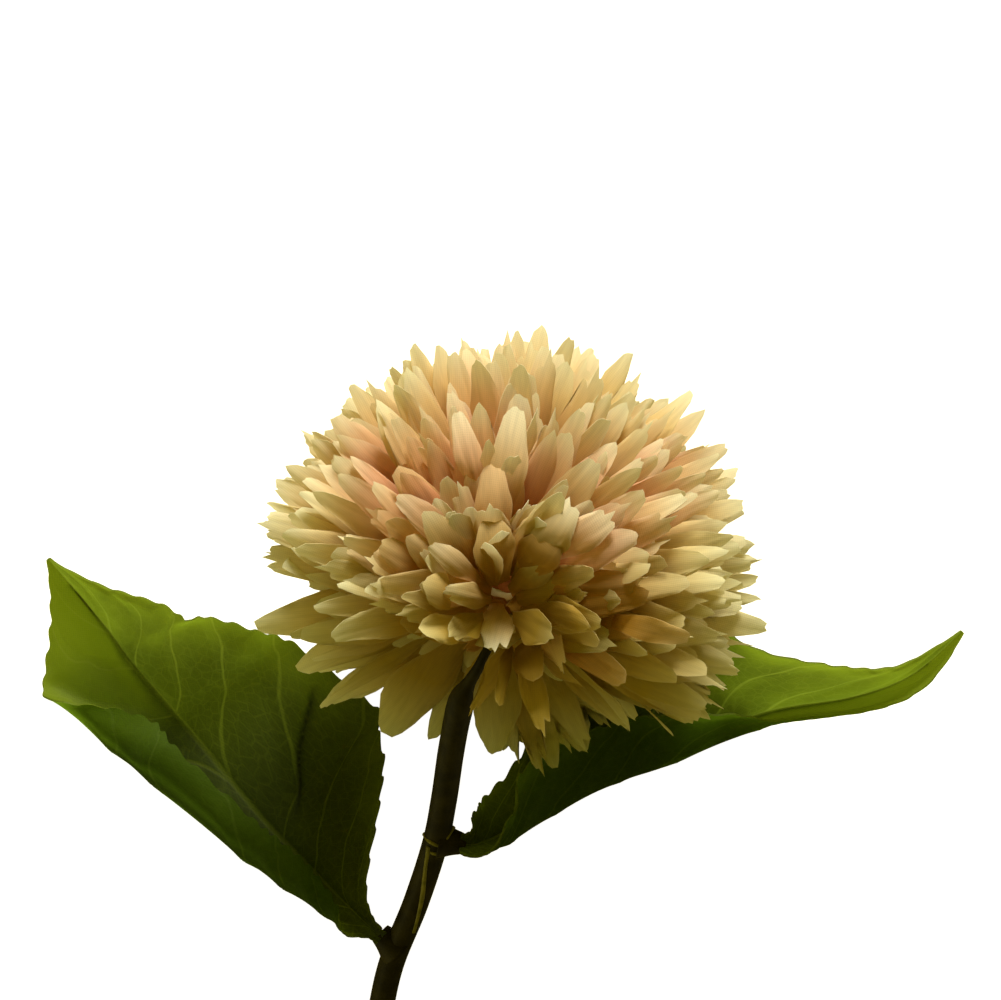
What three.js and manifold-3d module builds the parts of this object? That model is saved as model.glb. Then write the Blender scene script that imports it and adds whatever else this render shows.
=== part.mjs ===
// A pompon chrysanthemum made the way artificial flowers are: cloth petals and leaves on a moulded
// plastic stem with a steel wire inside. It lies on a table, at rest.
//
// Millimetres. The table is Z = 0 and the flower is seen from above, along -Z. The origin is the
// small flat spot on the table, straight under the middle of the bloom. The stem runs towards -Y.

import * as THREE from "three";
import { mergeVertices } from "three/addons/utils/BufferGeometryUtils.js";
import Module from "manifold-3d";

const wasm = await Module();
wasm.setup();

// ---- Driving dimensions ----------------------------------------------------------------------

const GAP = 0.3; // between two pieces that touch

// The bloom: a ball of petals. Their tips lie on a ball round HEAD, and they grow from HEART, which
// is nearer to the stem and to the eye. AXIS is the middle of the part of the ball that has petals.
const HEAD = new THREE.Vector3(0, 0, 46);
const HEART = new THREE.Vector3(-2, -2, 53);
const AXIS = new THREE.Vector3(0.134, 0.93, -0.342).normalize();
const PETALS = 240;
const REACH = 51; // petal tips from HEAD, round the top and sides
const REACH_BELOW = 47; // and at the lowest petals
const LAST_ANGLE = 119; // degrees from AXIS to the lowest petals
const CORE_RADIUS = 29; // round HEART: the mass of petal bases that the petals stand out of
const CORE_FLOOR = -5; // height on AXIS of the underside round the calyx
// Petals that hang or stand out by themselves: [tip x, y, z, share of the usual width].
const LOOSE_PETALS = [
  [-22.7, -30.4, 30, 1.35], [-0.4, -34.7, 24, 1], [2.9, -38.3, 22, 0.9], [-5.1, -26.6, 28, 1],
  [-50.2, -6.9, 50, 1], [-41.6, -16.1, 42, 1.1], [-37.8, -23.4, 36, 0.6], [39.6, 36, 46, 0.8],
  [-2.9, -11.1, 75, 1.1], [-4, -8.4, 80, 1], [37, -25.4, 36, 1.1],
];
const PETAL_STATIONS = [0.4, 0.7, 0.89, 1]; // along a petal: root, belly, shoulder, tip
const PETAL_WIDTHS = [3.4, 8, 7, 0];
const PETAL_THICK = 1.1;
const PETAL_ROLL = 0.7; // radians between the two most rolled petals
const PETAL_BOW = 0.42; // how far a petal leaves its heart towards the eye, as a share of a turn
const PETAL_BEND = 0.52; // how far along a petal its bend is
const ROOT_LIFT = 23; // petals that point at the eye start this much nearer to it
const CROWDED = { height: 60, radius: 20, clear: 11, sink: 2 }; // tips over HEART make room there
const LOW_SHARE = 0.84; // petals after this share of them leave the core's underside
const LOW_ROOT = 0.3; // and start nearer to its middle
const LIFTED_BELLY = 0.45; // where the petals that point straight at the eye have their belly
const FLATTEN = 9; // how far a petal sinks on to what it is pressed on

// The calyx under the bloom, turned round AXIS: radius and height of its outline.
const CALYX_TOP = CORE_FLOOR - GAP;
const CALYX = [[7.6, CALYX_TOP], [7.2, -6.2], [4.6, -7.8], [2.4, -8.6]];
const NECK_SOCKET = [1.3, -6.2]; // radius, and height of its end

// The stem's middle line, with the radius at each point: neck, collar, stem, cut end.
const STEM = [
  [-2.85, -7.9, 55.1, 0.95], [-3.3, -10.4, 56, 0.95], [-4.6, -12.9, 55.6, 0.95],
  [-5.8, -15.4, 54, 1.1], [-7.6, -18.4, 51.8, 1.4], [-8.9, -20.9, 49.8, 2.3],
  [-9.4, -23.1, 48, 2.75], [-10.3, -27.3, 44.6, 2.7], [-11.4, -33.5, 39.6, 2.7],
  [-12.8, -42.9, 32, 2.7], [-14.7, -52.3, 24.8, 2.7], [-18.8, -65.1, 16.4, 2.7],
  [-23.9, -78, 9.8, 2.7], [-26.6, -90, 5.6, 2.7], [-30, -108, 3.1, 2.7],
  [-34.5, -140, 2.75, 2.7], [-38, -170, 2.75, 2.7], [-40, -200, 2.75, 2.7],
];
const WIRE_RADIUS = 1;
const WIRE_START = 6; // the point of STEM where the wire ends inside the collar

// The stubs that the leaves are glued to, from the stem's middle line outwards.
const STUB_LEFT = [[-22.6, -75.4, 11], [-24.6, -73.2, 11.5], [-26.2, -71.6, 11.6]];
const STUB_RIGHT = [[-14.2, -51.4, 25.2], [-11.4, -51.8, 24.8], [-9.4, -52.2, 23.8]];
const STUB_RADII = [2.3, 2, 1.4];

// The leaves. Each row is one station from base to tip:
// [middle rib x, y, z, far width, far angle, near width, near flat, near bend radius, near turn].
// The far half (towards the bloom) is a straight slope. The near half runs flat, then bends up
// round its radius until it has turned so many degrees, and then runs straight.
const LEAF_LEFT = [
  [-27.9, -70.6, 13.2, 1.6, 0, 2.6, 1, 4, 40],
  [-32.3, -66.5, 11.2, 5.2, 4, 10.4, 2.2, 2.4, 196],
  [-38.6, -60.5, 8.2, 18.2, 6, 18.5, 1.8, 4.4, 202],
  [-44.8, -54.5, 6.2, 28.4, 5, 22.4, 2, 5.6, 206],
  [-51.2, -48.1, 4.6, 34, 6, 25.5, 2.4, 6.6, 208],
  [-64.6, -31.9, 3, 30.6, 14, 31, 6, 7, 208],
  [-70.8, -24.6, 2.8, 27.6, 28, 32, 9.4, 5.4, 196],
  [-78.4, -15.8, 3.2, 23.6, 40, 26, 11.4, 5, 150],
  [-82.6, -9.8, 4.6, 19.6, 43, 18, 13.6, 6, 44],
  [-88.6, -2, 8, 9.7, 48, 8, 7.6, 8, 8],
  [-94.6, 5.7, 14, 0.4, 50, 0.4, 0.3, 8, 0],
];
const LEAF_RIGHT = [
  [-7, -52.4, 24.8, 3.4, 0, 5, 0.2, 2, 120],
  [-5, -52, 21.6, 6.4, -2, 12, 0.2, 2.2, 134],
  [-0.8, -50.4, 16.4, 8.2, -10, 19, 0.2, 2.4, 142],
  [8.8, -44.6, 8.8, 11.6, -14, 21.5, 0.3, 2.5, 146],
  [20.6, -38.8, 4.6, 23, -5, 20, 0.3, 2.5, 148],
  [30.2, -35.6, 3.2, 26, -2, 20, 0.3, 2.5, 146],
  [45.7, -29.5, 2.8, 27, 18, 17, 0.3, 2.5, 125],
  [56.5, -25.7, 3.2, 26, 56, 13.6, 0.3, 2.5, 94],
  [72.4, -23, 5.4, 16.6, 61, 7.6, 0.3, 2.5, 86],
  [84, -18.4, 8.8, 8.2, 62, 5, 0.3, 2.5, 64],
  [94, -9.3, 14, 0.4, 50, 0.4, 0.2, 2.5, 30],
];
const LEAF_THICK = 0.7;
const LEAF_TEETH = 17; // along each edge
const TOOTH_SHARE = 0.07; // how deep a tooth is, as a share of the half's width
const FAR_STRIPS = 2; // facets across each half
const NEAR_STRIPS = 5;
const RIB_RADIUS = 0.8;
const RIB_TIP_RADIUS = 0.4;
const SOCKET_LENGTH = 1.6; // the straight start of a rib, outside its stub

// ---- Helpers ---------------------------------------------------------------------------------

const vector = (x, y, z) => new THREE.Vector3(x, y, z);
const radians = THREE.MathUtils.degToRad;
const mix = THREE.MathUtils.lerp;

// A repeatable number from 0 to 1 for copy i; each use has its own channel.
function chance(i, channel) {
  const value = Math.sin(i * 12.9898 + channel * 78.233) * 43758.5453;
  return value - Math.floor(value);
}

// Rows of numbers, read smoothly at u from 0 (first row) to 1 (last row).
function along(rows, u) {
  const place = Math.min(Math.max(u, 0), 1) * (rows.length - 1);
  const at = Math.min(Math.floor(place), rows.length - 2);
  const t = place - at;
  const [a, b, c, d] = [-1, 0, 1, 2].map(
    (step) => rows[Math.min(Math.max(at + step, 0), rows.length - 1)],
  );
  return b.map((_, k) => {
    const [p, q, r, s] = [a[k], b[k], c[k], d[k]];
    return q + 0.5 * t * (r - p + t * (2 * p - 5 * q + 4 * r - s + t * (3 * (q - r) + s - p)));
  });
}

// A closed set of faces as a solid, turned the right way out.
function solid(points, faces) {
  const build = (list) =>
    new wasm.Manifold(
      new wasm.Mesh({
        numProp: 3,
        vertProperties: new Float32Array(points.flatMap((p) => [p.x, p.y, p.z])),
        triVerts: new Uint32Array(list.flat()),
      }),
    );
  const made = build(faces);
  return made.volume() > 0 ? made : build(faces.map(([a, b, c]) => [a, c, b]));
}

function solidOfGeometry(geometry) {
  const bare = geometry.clone();
  bare.deleteAttribute("normal");
  bare.deleteAttribute("uv");
  const merged = mergeVertices(bare, 1e-4);
  const position = merged.attributes.position;
  const points = [];
  for (let i = 0; i < position.count; i++) {
    points.push(new THREE.Vector3().fromBufferAttribute(position, i));
  }
  const faces = [];
  for (let i = 0; i < merged.index.count; i += 3) {
    faces.push([0, 1, 2].map((k) => merged.index.getX(i + k)));
  }
  return solid(points, faces.filter(([a, b, c]) => a !== b && b !== c && a !== c));
}

function mesh(name, made, { color, roughness, metalness = 0 }) {
  const { vertProperties, triVerts, numProp, numVert } = made.getMesh();
  const position = new Float32Array(numVert * 3);
  for (let i = 0; i < numVert; i++) {
    position.set(vertProperties.subarray(i * numProp, i * numProp + 3), i * 3);
  }
  const geometry = new THREE.BufferGeometry();
  geometry.setAttribute("position", new THREE.BufferAttribute(position, 3));
  geometry.setIndex(new THREE.BufferAttribute(triVerts, 1));
  geometry.computeVertexNormals();
  const material = new THREE.MeshStandardMaterial({ color, roughness, metalness });
  const result = new THREE.Mesh(geometry, material);
  result.name = name;
  return result;
}

// A round bar along rows of [x, y, z, radius], with flat ends.
function bar(rows, steps, sides) {
  const rings = Array.from({ length: steps + 1 }, (_, i) => along(rows, i / steps));
  const middle = rings.map(([x, y, z]) => vector(x, y, z));
  const points = [];
  const faces = [];
  const across = vector(1, 0, 0);
  middle.forEach((centre, i) => {
    const before = middle[Math.max(i - 1, 0)];
    const after = middle[Math.min(i + 1, steps)];
    const forward = after.clone().sub(before).normalize();
    across.addScaledVector(forward, -across.dot(forward)).normalize();
    const up = forward.clone().cross(across);
    for (let k = 0; k < sides; k++) {
      const turn = (2 * Math.PI * k) / sides;
      const point = centre.clone().addScaledVector(across, rings[i][3] * Math.cos(turn));
      points.push(point.addScaledVector(up, rings[i][3] * Math.sin(turn)));
    }
  });
  for (let i = 0; i < steps; i++) {
    for (let k = 0; k < sides; k++) {
      const [a, b] = [i * sides + k, i * sides + ((k + 1) % sides)];
      faces.push([a, b, b + sides], [a, b + sides, a + sides]);
    }
  }
  for (let k = 1; k < sides - 1; k++) {
    faces.push([0, k + 1, k]);
    faces.push([steps * sides, steps * sides + k, steps * sides + k + 1]);
  }
  return solid(points, faces);
}

// ---- Leaves ----------------------------------------------------------------------------------

// The point of a leaf's middle surface at u along it and at share w of the half's width:
// w from 0 to 1 is the far half and from 0 to -1 the near half.
function leafPoint(rows, u, w, tooth = 0) {
  const [x, y, z, farWidth, farAngle, nearWidth, flat, bend, turn] = along(rows, u);
  const step = 0.01;
  const [before, after] = [along(rows, u - step), along(rows, u + step)];
  const run = vector(after[0] - before[0], after[1] - before[1], after[2] - before[2]).normalize();
  const far = vector(0, 0, 1).cross(run).normalize();
  if (far.y < 0) far.negate();
  const up = run.clone().cross(far);
  if (up.z < 0) up.negate();
  const point = vector(x, y, z);
  const reach = Math.abs(w) * (w > 0 ? farWidth : nearWidth) * (1 - tooth * TOOTH_SHARE);
  if (w > 0) {
    const angle = radians(farAngle);
    point.addScaledVector(far, reach * Math.cos(angle));
    return point.addScaledVector(up, reach * Math.sin(angle));
  }
  const full = radians(turn);
  const straight = Math.min(reach, flat);
  const turned = Math.min((reach - straight) / bend, full);
  const rest = reach - straight - turned * bend;
  point.addScaledVector(far, -(straight + bend * Math.sin(turned) + rest * Math.cos(turned)));
  return point.addScaledVector(up, bend * (1 - Math.cos(turned)) + rest * Math.sin(turned));
}

// The shares across a leaf, from the near edge over the rib to the far edge.
const SHARES = [
  ...Array.from({ length: NEAR_STRIPS }, (_, i) => i / NEAR_STRIPS - 1),
  ...Array.from({ length: FAR_STRIPS + 1 }, (_, i) => i / FAR_STRIPS),
];

// Rows of points over the leaf; every second row is a notch between two teeth.
function leafGrid(rows) {
  const last = 2 * LEAF_TEETH;
  return Array.from({ length: last + 1 }, (_, i) =>
    SHARES.map((w) => leafPoint(rows, i / last, w, Math.abs(w) === 1 && i % 2 ? 1 : 0)),
  );
}

// A blade of even thickness; both faces are split into triangles alike.
function blade(grid) {
  const [height, width] = [grid.length, grid[0].length];
  const points = [];
  for (const side of [0.5, -0.5]) {
    grid.forEach((row, i) =>
      row.forEach((point, k) => {
        const down = grid[Math.max(i - 1, 0)][k];
        const up = grid[Math.min(i + 1, height - 1)][k];
        const left = row[Math.max(k - 1, 0)];
        const right = row[Math.min(k + 1, width - 1)];
        const normal = up.clone().sub(down).cross(right.clone().sub(left)).normalize();
        points.push(point.clone().addScaledVector(normal, side * LEAF_THICK));
      }),
    );
  }
  const back = height * width;
  const faces = [];
  for (let i = 0; i < height - 1; i++) {
    for (let k = 0; k < width - 1; k++) {
      const a = i * width + k;
      const [b, c, d] = [a + 1, a + width + 1, a + width];
      faces.push([a, b, c], [a, c, d]);
      faces.push([back + a, back + c, back + b], [back + a, back + d, back + c]);
    }
  }
  const edge = [];
  for (let k = 0; k < width - 1; k++) edge.push(k);
  for (let i = 0; i < height - 1; i++) edge.push(i * width + width - 1);
  for (let k = width - 1; k > 0; k--) edge.push((height - 1) * width + k);
  for (let i = height - 1; i > 0; i--) edge.push(i * width);
  edge.forEach((a, i) => {
    const b = edge[(i + 1) % edge.length];
    faces.push([b, a, back + a], [b, back + a, back + b]);
  });
  return solid(points, faces);
}

// The plastic rib under the blade, from the stub to near the leaf's tip.
function rib(rows, stub) {
  const under = LEAF_THICK / 2 + 2 * GAP + RIB_RADIUS;
  const [end, beforeEnd] = [stub.at(-1), stub.at(-2)].map((p) => vector(...p));
  const outwards = end.clone().sub(beforeEnd).normalize();
  const line = [1.5 * GAP, 1.5 * GAP + SOCKET_LENGTH].map((far) => [
    ...end.clone().addScaledVector(outwards, far),
    STUB_RADII.at(-1) - GAP,
  ]);
  for (const u of [0.1, 0.2, 0.35, 0.5, 0.65, 0.8, 0.93]) {
    const [x, y, z] = along(rows, u);
    const [bx, by, bz] = along(rows, u - 0.02);
    const run = vector(x - bx, y - by, z - bz).normalize();
    const down = vector(0, 0, -1).addScaledVector(run, run.z).normalize();
    const point = vector(x, y, z).addScaledVector(down, under);
    line.push([...point.toArray(), mix(RIB_RADIUS, RIB_TIP_RADIUS, u)]);
  }
  return bar(line, 24, 6);
}

// ---- Bloom -----------------------------------------------------------------------------------

const SIDE = AXIS.clone().cross(vector(0, 0, 1)).normalize(); // about +X
const NEAR = SIDE.clone().cross(AXIS); // about +Z
const EYE = vector(0, 0, 1);
const LIFTED_ROOT = HEART.clone().addScaledVector(AXIS, 6); // clear of the calyx

// Points all over both leaves, which petals must pass over.
const leafTops = [LEAF_LEFT, LEAF_RIGHT].flatMap((rows) =>
  Array.from({ length: 41 * 21 }, (_, i) => leafPoint(rows, (i % 41) / 40, Math.floor(i / 41) / 10 - 1)),
);

// The height of what lies under a petal: the table, or a leaf with a little room.
function ground(x, y) {
  const [beside, room] = [3.5, 1.2];
  return leafTops.reduce(
    (top, p) => (Math.hypot(p.x - x, p.y - y) < beside ? Math.max(top, p.z + room) : top),
    0,
  );
}

function curvePoint([root, bend, tip], t) {
  return root.clone().multiplyScalar((1 - t) ** 2)
    .addScaledVector(bend, 2 * t * (1 - t))
    .addScaledVector(tip, t * t);
}

// Petal i of the bloom, laid out by the golden angle round AXIS.
function petalLayout(i) {
  const share = (i + 0.5) / PETALS;
  const angle = Math.acos(1 - share * (1 - Math.cos(radians(LAST_ANGLE))));
  const round = i * Math.PI * (3 - Math.sqrt(5)) + 0.25 * (chance(i, 1) - 0.5);
  const outwards = SIDE.clone().multiplyScalar(Math.cos(round));
  outwards.addScaledVector(NEAR, Math.sin(round));
  const lowness = THREE.MathUtils.smoothstep(angle, radians(85), radians(LAST_ANGLE));
  const reach = mix(REACH, REACH_BELOW, lowness) * (0.95 + 0.08 * chance(i, 2));
  const radial = AXIS.clone().multiplyScalar(Math.cos(angle));
  radial.addScaledVector(outwards, Math.sin(angle));
  const root = HEART.clone().addScaledVector(AXIS, mix(6, -1, share));
  const tip = spread(HEAD.clone().addScaledVector(radial, reach));
  return { ...petalCurve(root, tip), roll: PETAL_ROLL * (chance(i, 3) - 0.5), low: share > LOW_SHARE };
}

// Keeps tips that point at the eye from crowding over HEART: they lean outwards.
function spread(tip) {
  const { height, radius, clear, sink } = CROWDED;
  const away = tip.clone().sub(HEART).setZ(0);
  const far = away.length();
  if (tip.z < height || far > radius) return tip;
  tip.addScaledVector(away, (mix(clear, radius, far / radius) - far) / Math.max(far, 0.1));
  return tip.setZ(tip.z - sink);
}

// The curve from a root to a tip. Petals turn away from the eye: each rises towards it from the
// heart and then bends outwards to its tip, with its inner face turned away.
function petalCurve(root, tip) {
  const aim = tip.clone().sub(HEART).angleTo(EYE);
  const lifted = 1 - THREE.MathUtils.smoothstep(aim, radians(15), radians(95));
  root.z += ROOT_LIFT * lifted;
  const chord = tip.clone().sub(root);
  const facing = chord.angleTo(EYE);
  const bow = PETAL_BOW * (1 - THREE.MathUtils.smoothstep(facing, radians(25), radians(120)));
  const bend = root.clone().add(chord.clone().lerp(EYE.clone().setLength(chord.length()), bow)
    .setLength(PETAL_BEND * chord.length()));
  return { curve: [root, bend, tip], inner: EYE.clone().negate(), lifted };
}

function loosePetal([x, y, z, width]) {
  const root = HEART.clone().addScaledVector(AXIS, 1);
  return petal({ ...petalCurve(root, vector(x, y, z)), roll: 0, low: true }, width);
}

// Lifts a petal's outer part off the table and the leaves, and says how far it was lifted.
function clearOfGround(curve) {
  const [root, bend, tip] = curve;
  let lift = 0;
  for (const t of [0.55, 0.65, 0.75, 0.85, 0.93, 1]) {
    const point = curvePoint(curve, t);
    lift = Math.max(lift, (ground(point.x, point.y) - point.z) / (2 * t - t * t));
  }
  const slide = vector(tip.x - root.x, tip.y - root.y, 0).setLength(0.5 * lift);
  bend.z += lift;
  tip.add(slide).setZ(tip.z + lift);
  return lift;
}

function petal({ curve, inner, roll, low, lifted = 0 }, widest = 1) {
  const pressed = clearOfGround(curve) > 0.5;
  const points = [];
  PETAL_STATIONS.forEach((station, k) => {
    let t = k === 0 && (low || pressed) ? LOW_ROOT : station;
    if (k === 1) t = mix(t, LIFTED_BELLY, lifted);
    const centre = curvePoint(curve, t);
    if (k === 0) centre.lerp(LIFTED_ROOT, lifted);
    const run = curvePoint(curve, t + 0.01).sub(curvePoint(curve, t - 0.01)).normalize();
    const face = (pressed && k > 0 ? vector(0, 0, -1) : inner).clone();
    const wide = run.clone().cross(face).normalize();
    if (!pressed) wide.applyAxisAngle(run, roll);
    const out = run.clone().cross(wide).normalize();
    if (pressed) centre.z -= FLATTEN * t;
    const half = 0.5 * PETAL_WIDTHS[k] * widest;
    const corners = half
      ? [
          centre.clone().addScaledVector(wide, half),
          centre.clone().addScaledVector(wide, -half),
          centre.clone().addScaledVector(out, pressed ? 0 : PETAL_THICK),
        ]
      : [centre];
    for (const corner of corners) {
      if (pressed) corner.z = Math.max(corner.z, ground(corner.x, corner.y));
      points.push(corner);
    }
    if (half && pressed) points.at(-1).z += PETAL_THICK;
  });
  const faces = [[0, 1, 2]];
  for (const s of [0, 3]) {
    for (let k = 0; k < 3; k++) {
      const [a, b] = [s + k, s + ((k + 1) % 3)];
      faces.push([a, a + 3, b], [b, a + 3, b + 3]);
    }
  }
  for (let k = 0; k < 3; k++) faces.push([6 + k, 9, 6 + ((k + 1) % 3)]);
  return solid(points, faces);
}

// Turns a lathe shape, made along +Y, on to the bloom's axis.
function onAxis(geometry) {
  const turn = new THREE.Quaternion().setFromUnitVectors(vector(0, 1, 0), AXIS);
  return geometry.applyQuaternion(turn).translate(...HEART.toArray());
}

function lathe(outline, sides) {
  return solidOfGeometry(
    onAxis(new THREE.LatheGeometry(outline.map(([r, h]) => new THREE.Vector2(r, h)), sides)),
  );
}

function bloomCore() {
  const dome = Array.from({ length: 7 }, (_, i) => {
    const angle = (i * Math.PI) / 12;
    return [CORE_RADIUS * Math.sin(angle), CORE_RADIUS * Math.cos(angle)];
  });
  dome[0][0] = 0;
  return lathe([...dome, [28, -4.5], [20, CORE_FLOOR], [0, CORE_FLOOR]].reverse(), 20);
}

// The petal pressed flat on the table under the bloom, which the flower rests on.
function restingPetal() {
  const curve = [HEART.clone(), vector(0, -24, -0.6), vector(0, 11, -0.6)];
  return petal({ curve, inner: vector(0, 0, -1), roll: 0, low: true }, 1.4);
}

function bloom() {
  let made = bloomCore().add(restingPetal());
  for (let i = 0; i < PETALS; i++) {
    made = made.add(petal(petalLayout(i)));
  }
  for (const row of LOOSE_PETALS) made = made.add(loosePetal(row));
  const bodies = made.decompose().filter((body) => body.volume() > 0);
  return bodies.sort((a, b) => b.volume() - a.volume())[0];
}

// ---- Calyx, stem and wire --------------------------------------------------------------------

function calyx() {
  const [socketRadius, socketEnd] = NECK_SOCKET;
  const mouth = CALYX.at(-1)[1];
  const outline = [[0, CALYX_TOP], ...CALYX, [socketRadius, mouth], [socketRadius, socketEnd]];
  return lathe([...outline, [0, socketEnd]].reverse(), 12);
}

function stem() {
  const stubs = [STUB_LEFT, STUB_RIGHT].map((stub) =>
    bar(stub.map((point, k) => [...point, STUB_RADII[k]]), 3, 8),
  );
  const bore = STEM.slice(WIRE_START).map(([x, y, z]) => [x, y, z, WIRE_RADIUS + GAP]);
  const [last, before] = [bore.at(-1), bore.at(-2)];
  bore.push(last.map((value, k) => value + 0.1 * (value - before[k])));
  return bar(STEM, 51, 10).add(stubs[0]).add(stubs[1]).subtract(bar(bore, 24, 6));
}

function wire() {
  const rows = STEM.slice(WIRE_START).map(([x, y, z]) => [x, y, z, WIRE_RADIUS]);
  const [first, second] = rows;
  rows[0] = first.map((value, k) => mix(value, second[k], 0.15));
  return bar(rows, 22, 6);
}

// ---- The flower ------------------------------------------------------------------------------

const CLOTH_CREAM = { color: 0xdcc48c, roughness: 0.85 };
const CLOTH_GREEN = { color: 0x4d6f1d, roughness: 0.8 };
const PLASTIC_DARK = { color: 0x2a2a12, roughness: 0.5 };
const PLASTIC_GREEN = { color: 0x6c8030, roughness: 0.5 };
const STEEL = { color: 0x9a9a98, roughness: 0.4, metalness: 1 };

const flower = new THREE.Group();
flower.add(
  mesh("bloom", bloom(), CLOTH_CREAM),
  mesh("calyx", calyx(), PLASTIC_GREEN),
  mesh("stem", stem(), PLASTIC_DARK),
  mesh("stem_wire", wire(), STEEL),
  mesh("leaf_left", blade(leafGrid(LEAF_LEFT)), CLOTH_GREEN),
  mesh("leaf_left_rib", rib(LEAF_LEFT, STUB_LEFT), PLASTIC_GREEN),
  mesh("leaf_right", blade(leafGrid(LEAF_RIGHT)), CLOTH_GREEN),
  mesh("leaf_right_rib", rib(LEAF_RIGHT, STUB_RIGHT), PLASTIC_GREEN),
);

export default flower;
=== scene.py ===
# %% [markdown]
# # A pompon chrysanthemum made of cloth
# An artificial flower is built like a toy: petals and leaves are stamped out of stiffened cloth, and
# they sit on a moulded plastic stem with a steel wire inside. This lesson makes one that lies on a
# table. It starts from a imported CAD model, which gives the true sizes, and it remakes the pieces one
# by one with much finer meshes. Plans are written in millimetres and meshes are made in metres. The
# table is at height zero.

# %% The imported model
import math

import bpy
import numpy as np
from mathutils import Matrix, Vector


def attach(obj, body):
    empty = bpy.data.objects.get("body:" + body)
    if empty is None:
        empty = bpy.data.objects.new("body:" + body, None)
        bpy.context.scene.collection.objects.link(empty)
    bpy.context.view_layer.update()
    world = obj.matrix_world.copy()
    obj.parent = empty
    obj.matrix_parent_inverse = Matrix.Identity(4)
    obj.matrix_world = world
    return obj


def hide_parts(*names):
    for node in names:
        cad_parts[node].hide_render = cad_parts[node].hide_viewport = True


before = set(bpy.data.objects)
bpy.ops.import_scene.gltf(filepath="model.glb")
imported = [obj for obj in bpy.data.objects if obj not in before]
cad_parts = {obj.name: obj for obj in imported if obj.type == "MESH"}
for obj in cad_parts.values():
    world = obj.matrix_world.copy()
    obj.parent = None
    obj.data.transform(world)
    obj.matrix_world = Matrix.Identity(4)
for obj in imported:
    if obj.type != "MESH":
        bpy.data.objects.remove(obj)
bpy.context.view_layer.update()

MM = 0.001
print("nodes:", sorted(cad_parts))

# %% [markdown]
# ## Small tools
# Petals look natural when each one differs a little, but the file has to give the same flower every
# time. A sine with a large factor gives numbers that look random and never change. The smooth step
# fades one rule into another, and rows of numbers are read along a smooth curve through them, the
# same curve that the CAD model used, so the two flowers agree.


# %% Small tools
def chance(i, channel):
    """A repeatable number from 0 to 1 for copy i; each use has its own channel."""
    value = math.sin(i * 12.9898 + channel * 78.233) * 43758.5453
    return value - math.floor(value)


def mix(a, b, share):
    return a + (b - a) * share


def smooth_step(value, low, high):
    t = np.clip((value - low) / (high - low), 0, 1)
    return t * t * (3 - 2 * t)


def unit(v):
    v = np.asarray(v, float)
    return v / np.linalg.norm(v, axis=-1, keepdims=True)


def along(rows, u):
    """Rows of numbers read smoothly at each u from 0, the first row, to 1, the last."""
    rows = np.asarray(rows, float)
    place = np.clip(np.asarray(u, float), 0, 1) * (len(rows) - 1)
    at = np.minimum(np.floor(place).astype(int), len(rows) - 2)
    t = (place - at)[..., None]
    p, q, r, s = (rows[np.clip(at + step, 0, len(rows) - 1)] for step in (-1, 0, 1, 2))
    return q + 0.5 * t * (r - p + t * (2 * p - 5 * q + 4 * r - s + t * (3 * (q - r) + s - p)))


print("two draws:", round(chance(1, 1), 4), round(chance(2, 1), 4))

# %% [markdown]
# ## Meshes from grids
# Every petal, leaf and tube here is a grid of points: so many rows, so many columns. One helper turns
# a pile of such grids into a mesh and stores extra numbers on its points, called attributes, which
# the materials read later. The numbers stay with the cloth however it bends, so a colour that fades
# from root to tip needs no unwrapping.


# %% Meshes from grids
def grid_faces(rows, columns, start=0, closed=False):
    i, k = np.meshgrid(np.arange(rows - 1), np.arange(columns - (not closed)), indexing="ij")
    a = start + i * columns + k
    b = start + i * columns + (k + 1) % columns
    return np.stack([a, b, b + columns, a + columns], -1).reshape(-1, 4)


def closed_tube_faces(rows, columns):
    """The faces of a tube with a flat face over each end."""
    last = (rows - 1) * columns
    ends = [list(range(columns))[::-1], list(range(last, last + columns))]
    return grid_faces(rows, columns, closed=True).tolist() + ends


def joined(shapes):
    """Points and faces of several shapes as those of one."""
    points, faces = np.zeros((0, 3)), []
    for found, more in shapes:
        faces += [[index + len(points) for index in face] for face in more]
        points = np.concatenate([points, found])
    return points, faces


def mesh_object(name, points, faces, attributes=None, smooth=True):
    """A mesh object from points in millimetres, quads or other faces, and per-point numbers."""
    mesh = bpy.data.meshes.new(name)
    mesh.from_pydata((np.asarray(points) * MM).tolist(), [], [list(map(int, f)) for f in faces])
    for label, values in (attributes or {}).items():
        values = np.asarray(values, float)
        kind = "FLOAT_VECTOR" if values.ndim == 2 else "FLOAT"
        layer = mesh.attributes.new(label, kind, "POINT")
        layer.data.foreach_set("vector" if values.ndim == 2 else "value", values.ravel())
    mesh.validate()
    mesh.polygons.foreach_set("use_smooth", [smooth] * len(mesh.polygons))
    piece = bpy.data.objects.new(name, mesh)
    bpy.context.scene.collection.objects.link(piece)
    return piece


print("a test grid of 3 by 4 points has", len(grid_faces(3, 4)), "faces")

# %% [markdown]
# ## Pieces, cloth and tubes
# A piece made here rides with the flower, takes its material and stands for one or more of the
# model's nodes. Cloth is modelled as a sheet, and a modifier gives it thickness, which keeps its
# points easy to bend. A tube is a row of rings: each ring turns only as far as the path does, so the
# faces don't twist.


# %% Pieces, cloth and tubes
def stands_for(piece, slot, material, *nodes):
    """The piece rides with the flower, takes its material and stands for CAD nodes; the slot is not
    used.
    """
    piece.data.materials.append(material)
    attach(piece, "root")
    if nodes:
        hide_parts(*nodes)
    triangles = sum(len(polygon.vertices) - 2 for polygon in piece.data.polygons)
    print(piece.name, "has", triangles, "triangles before its modifiers")


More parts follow.
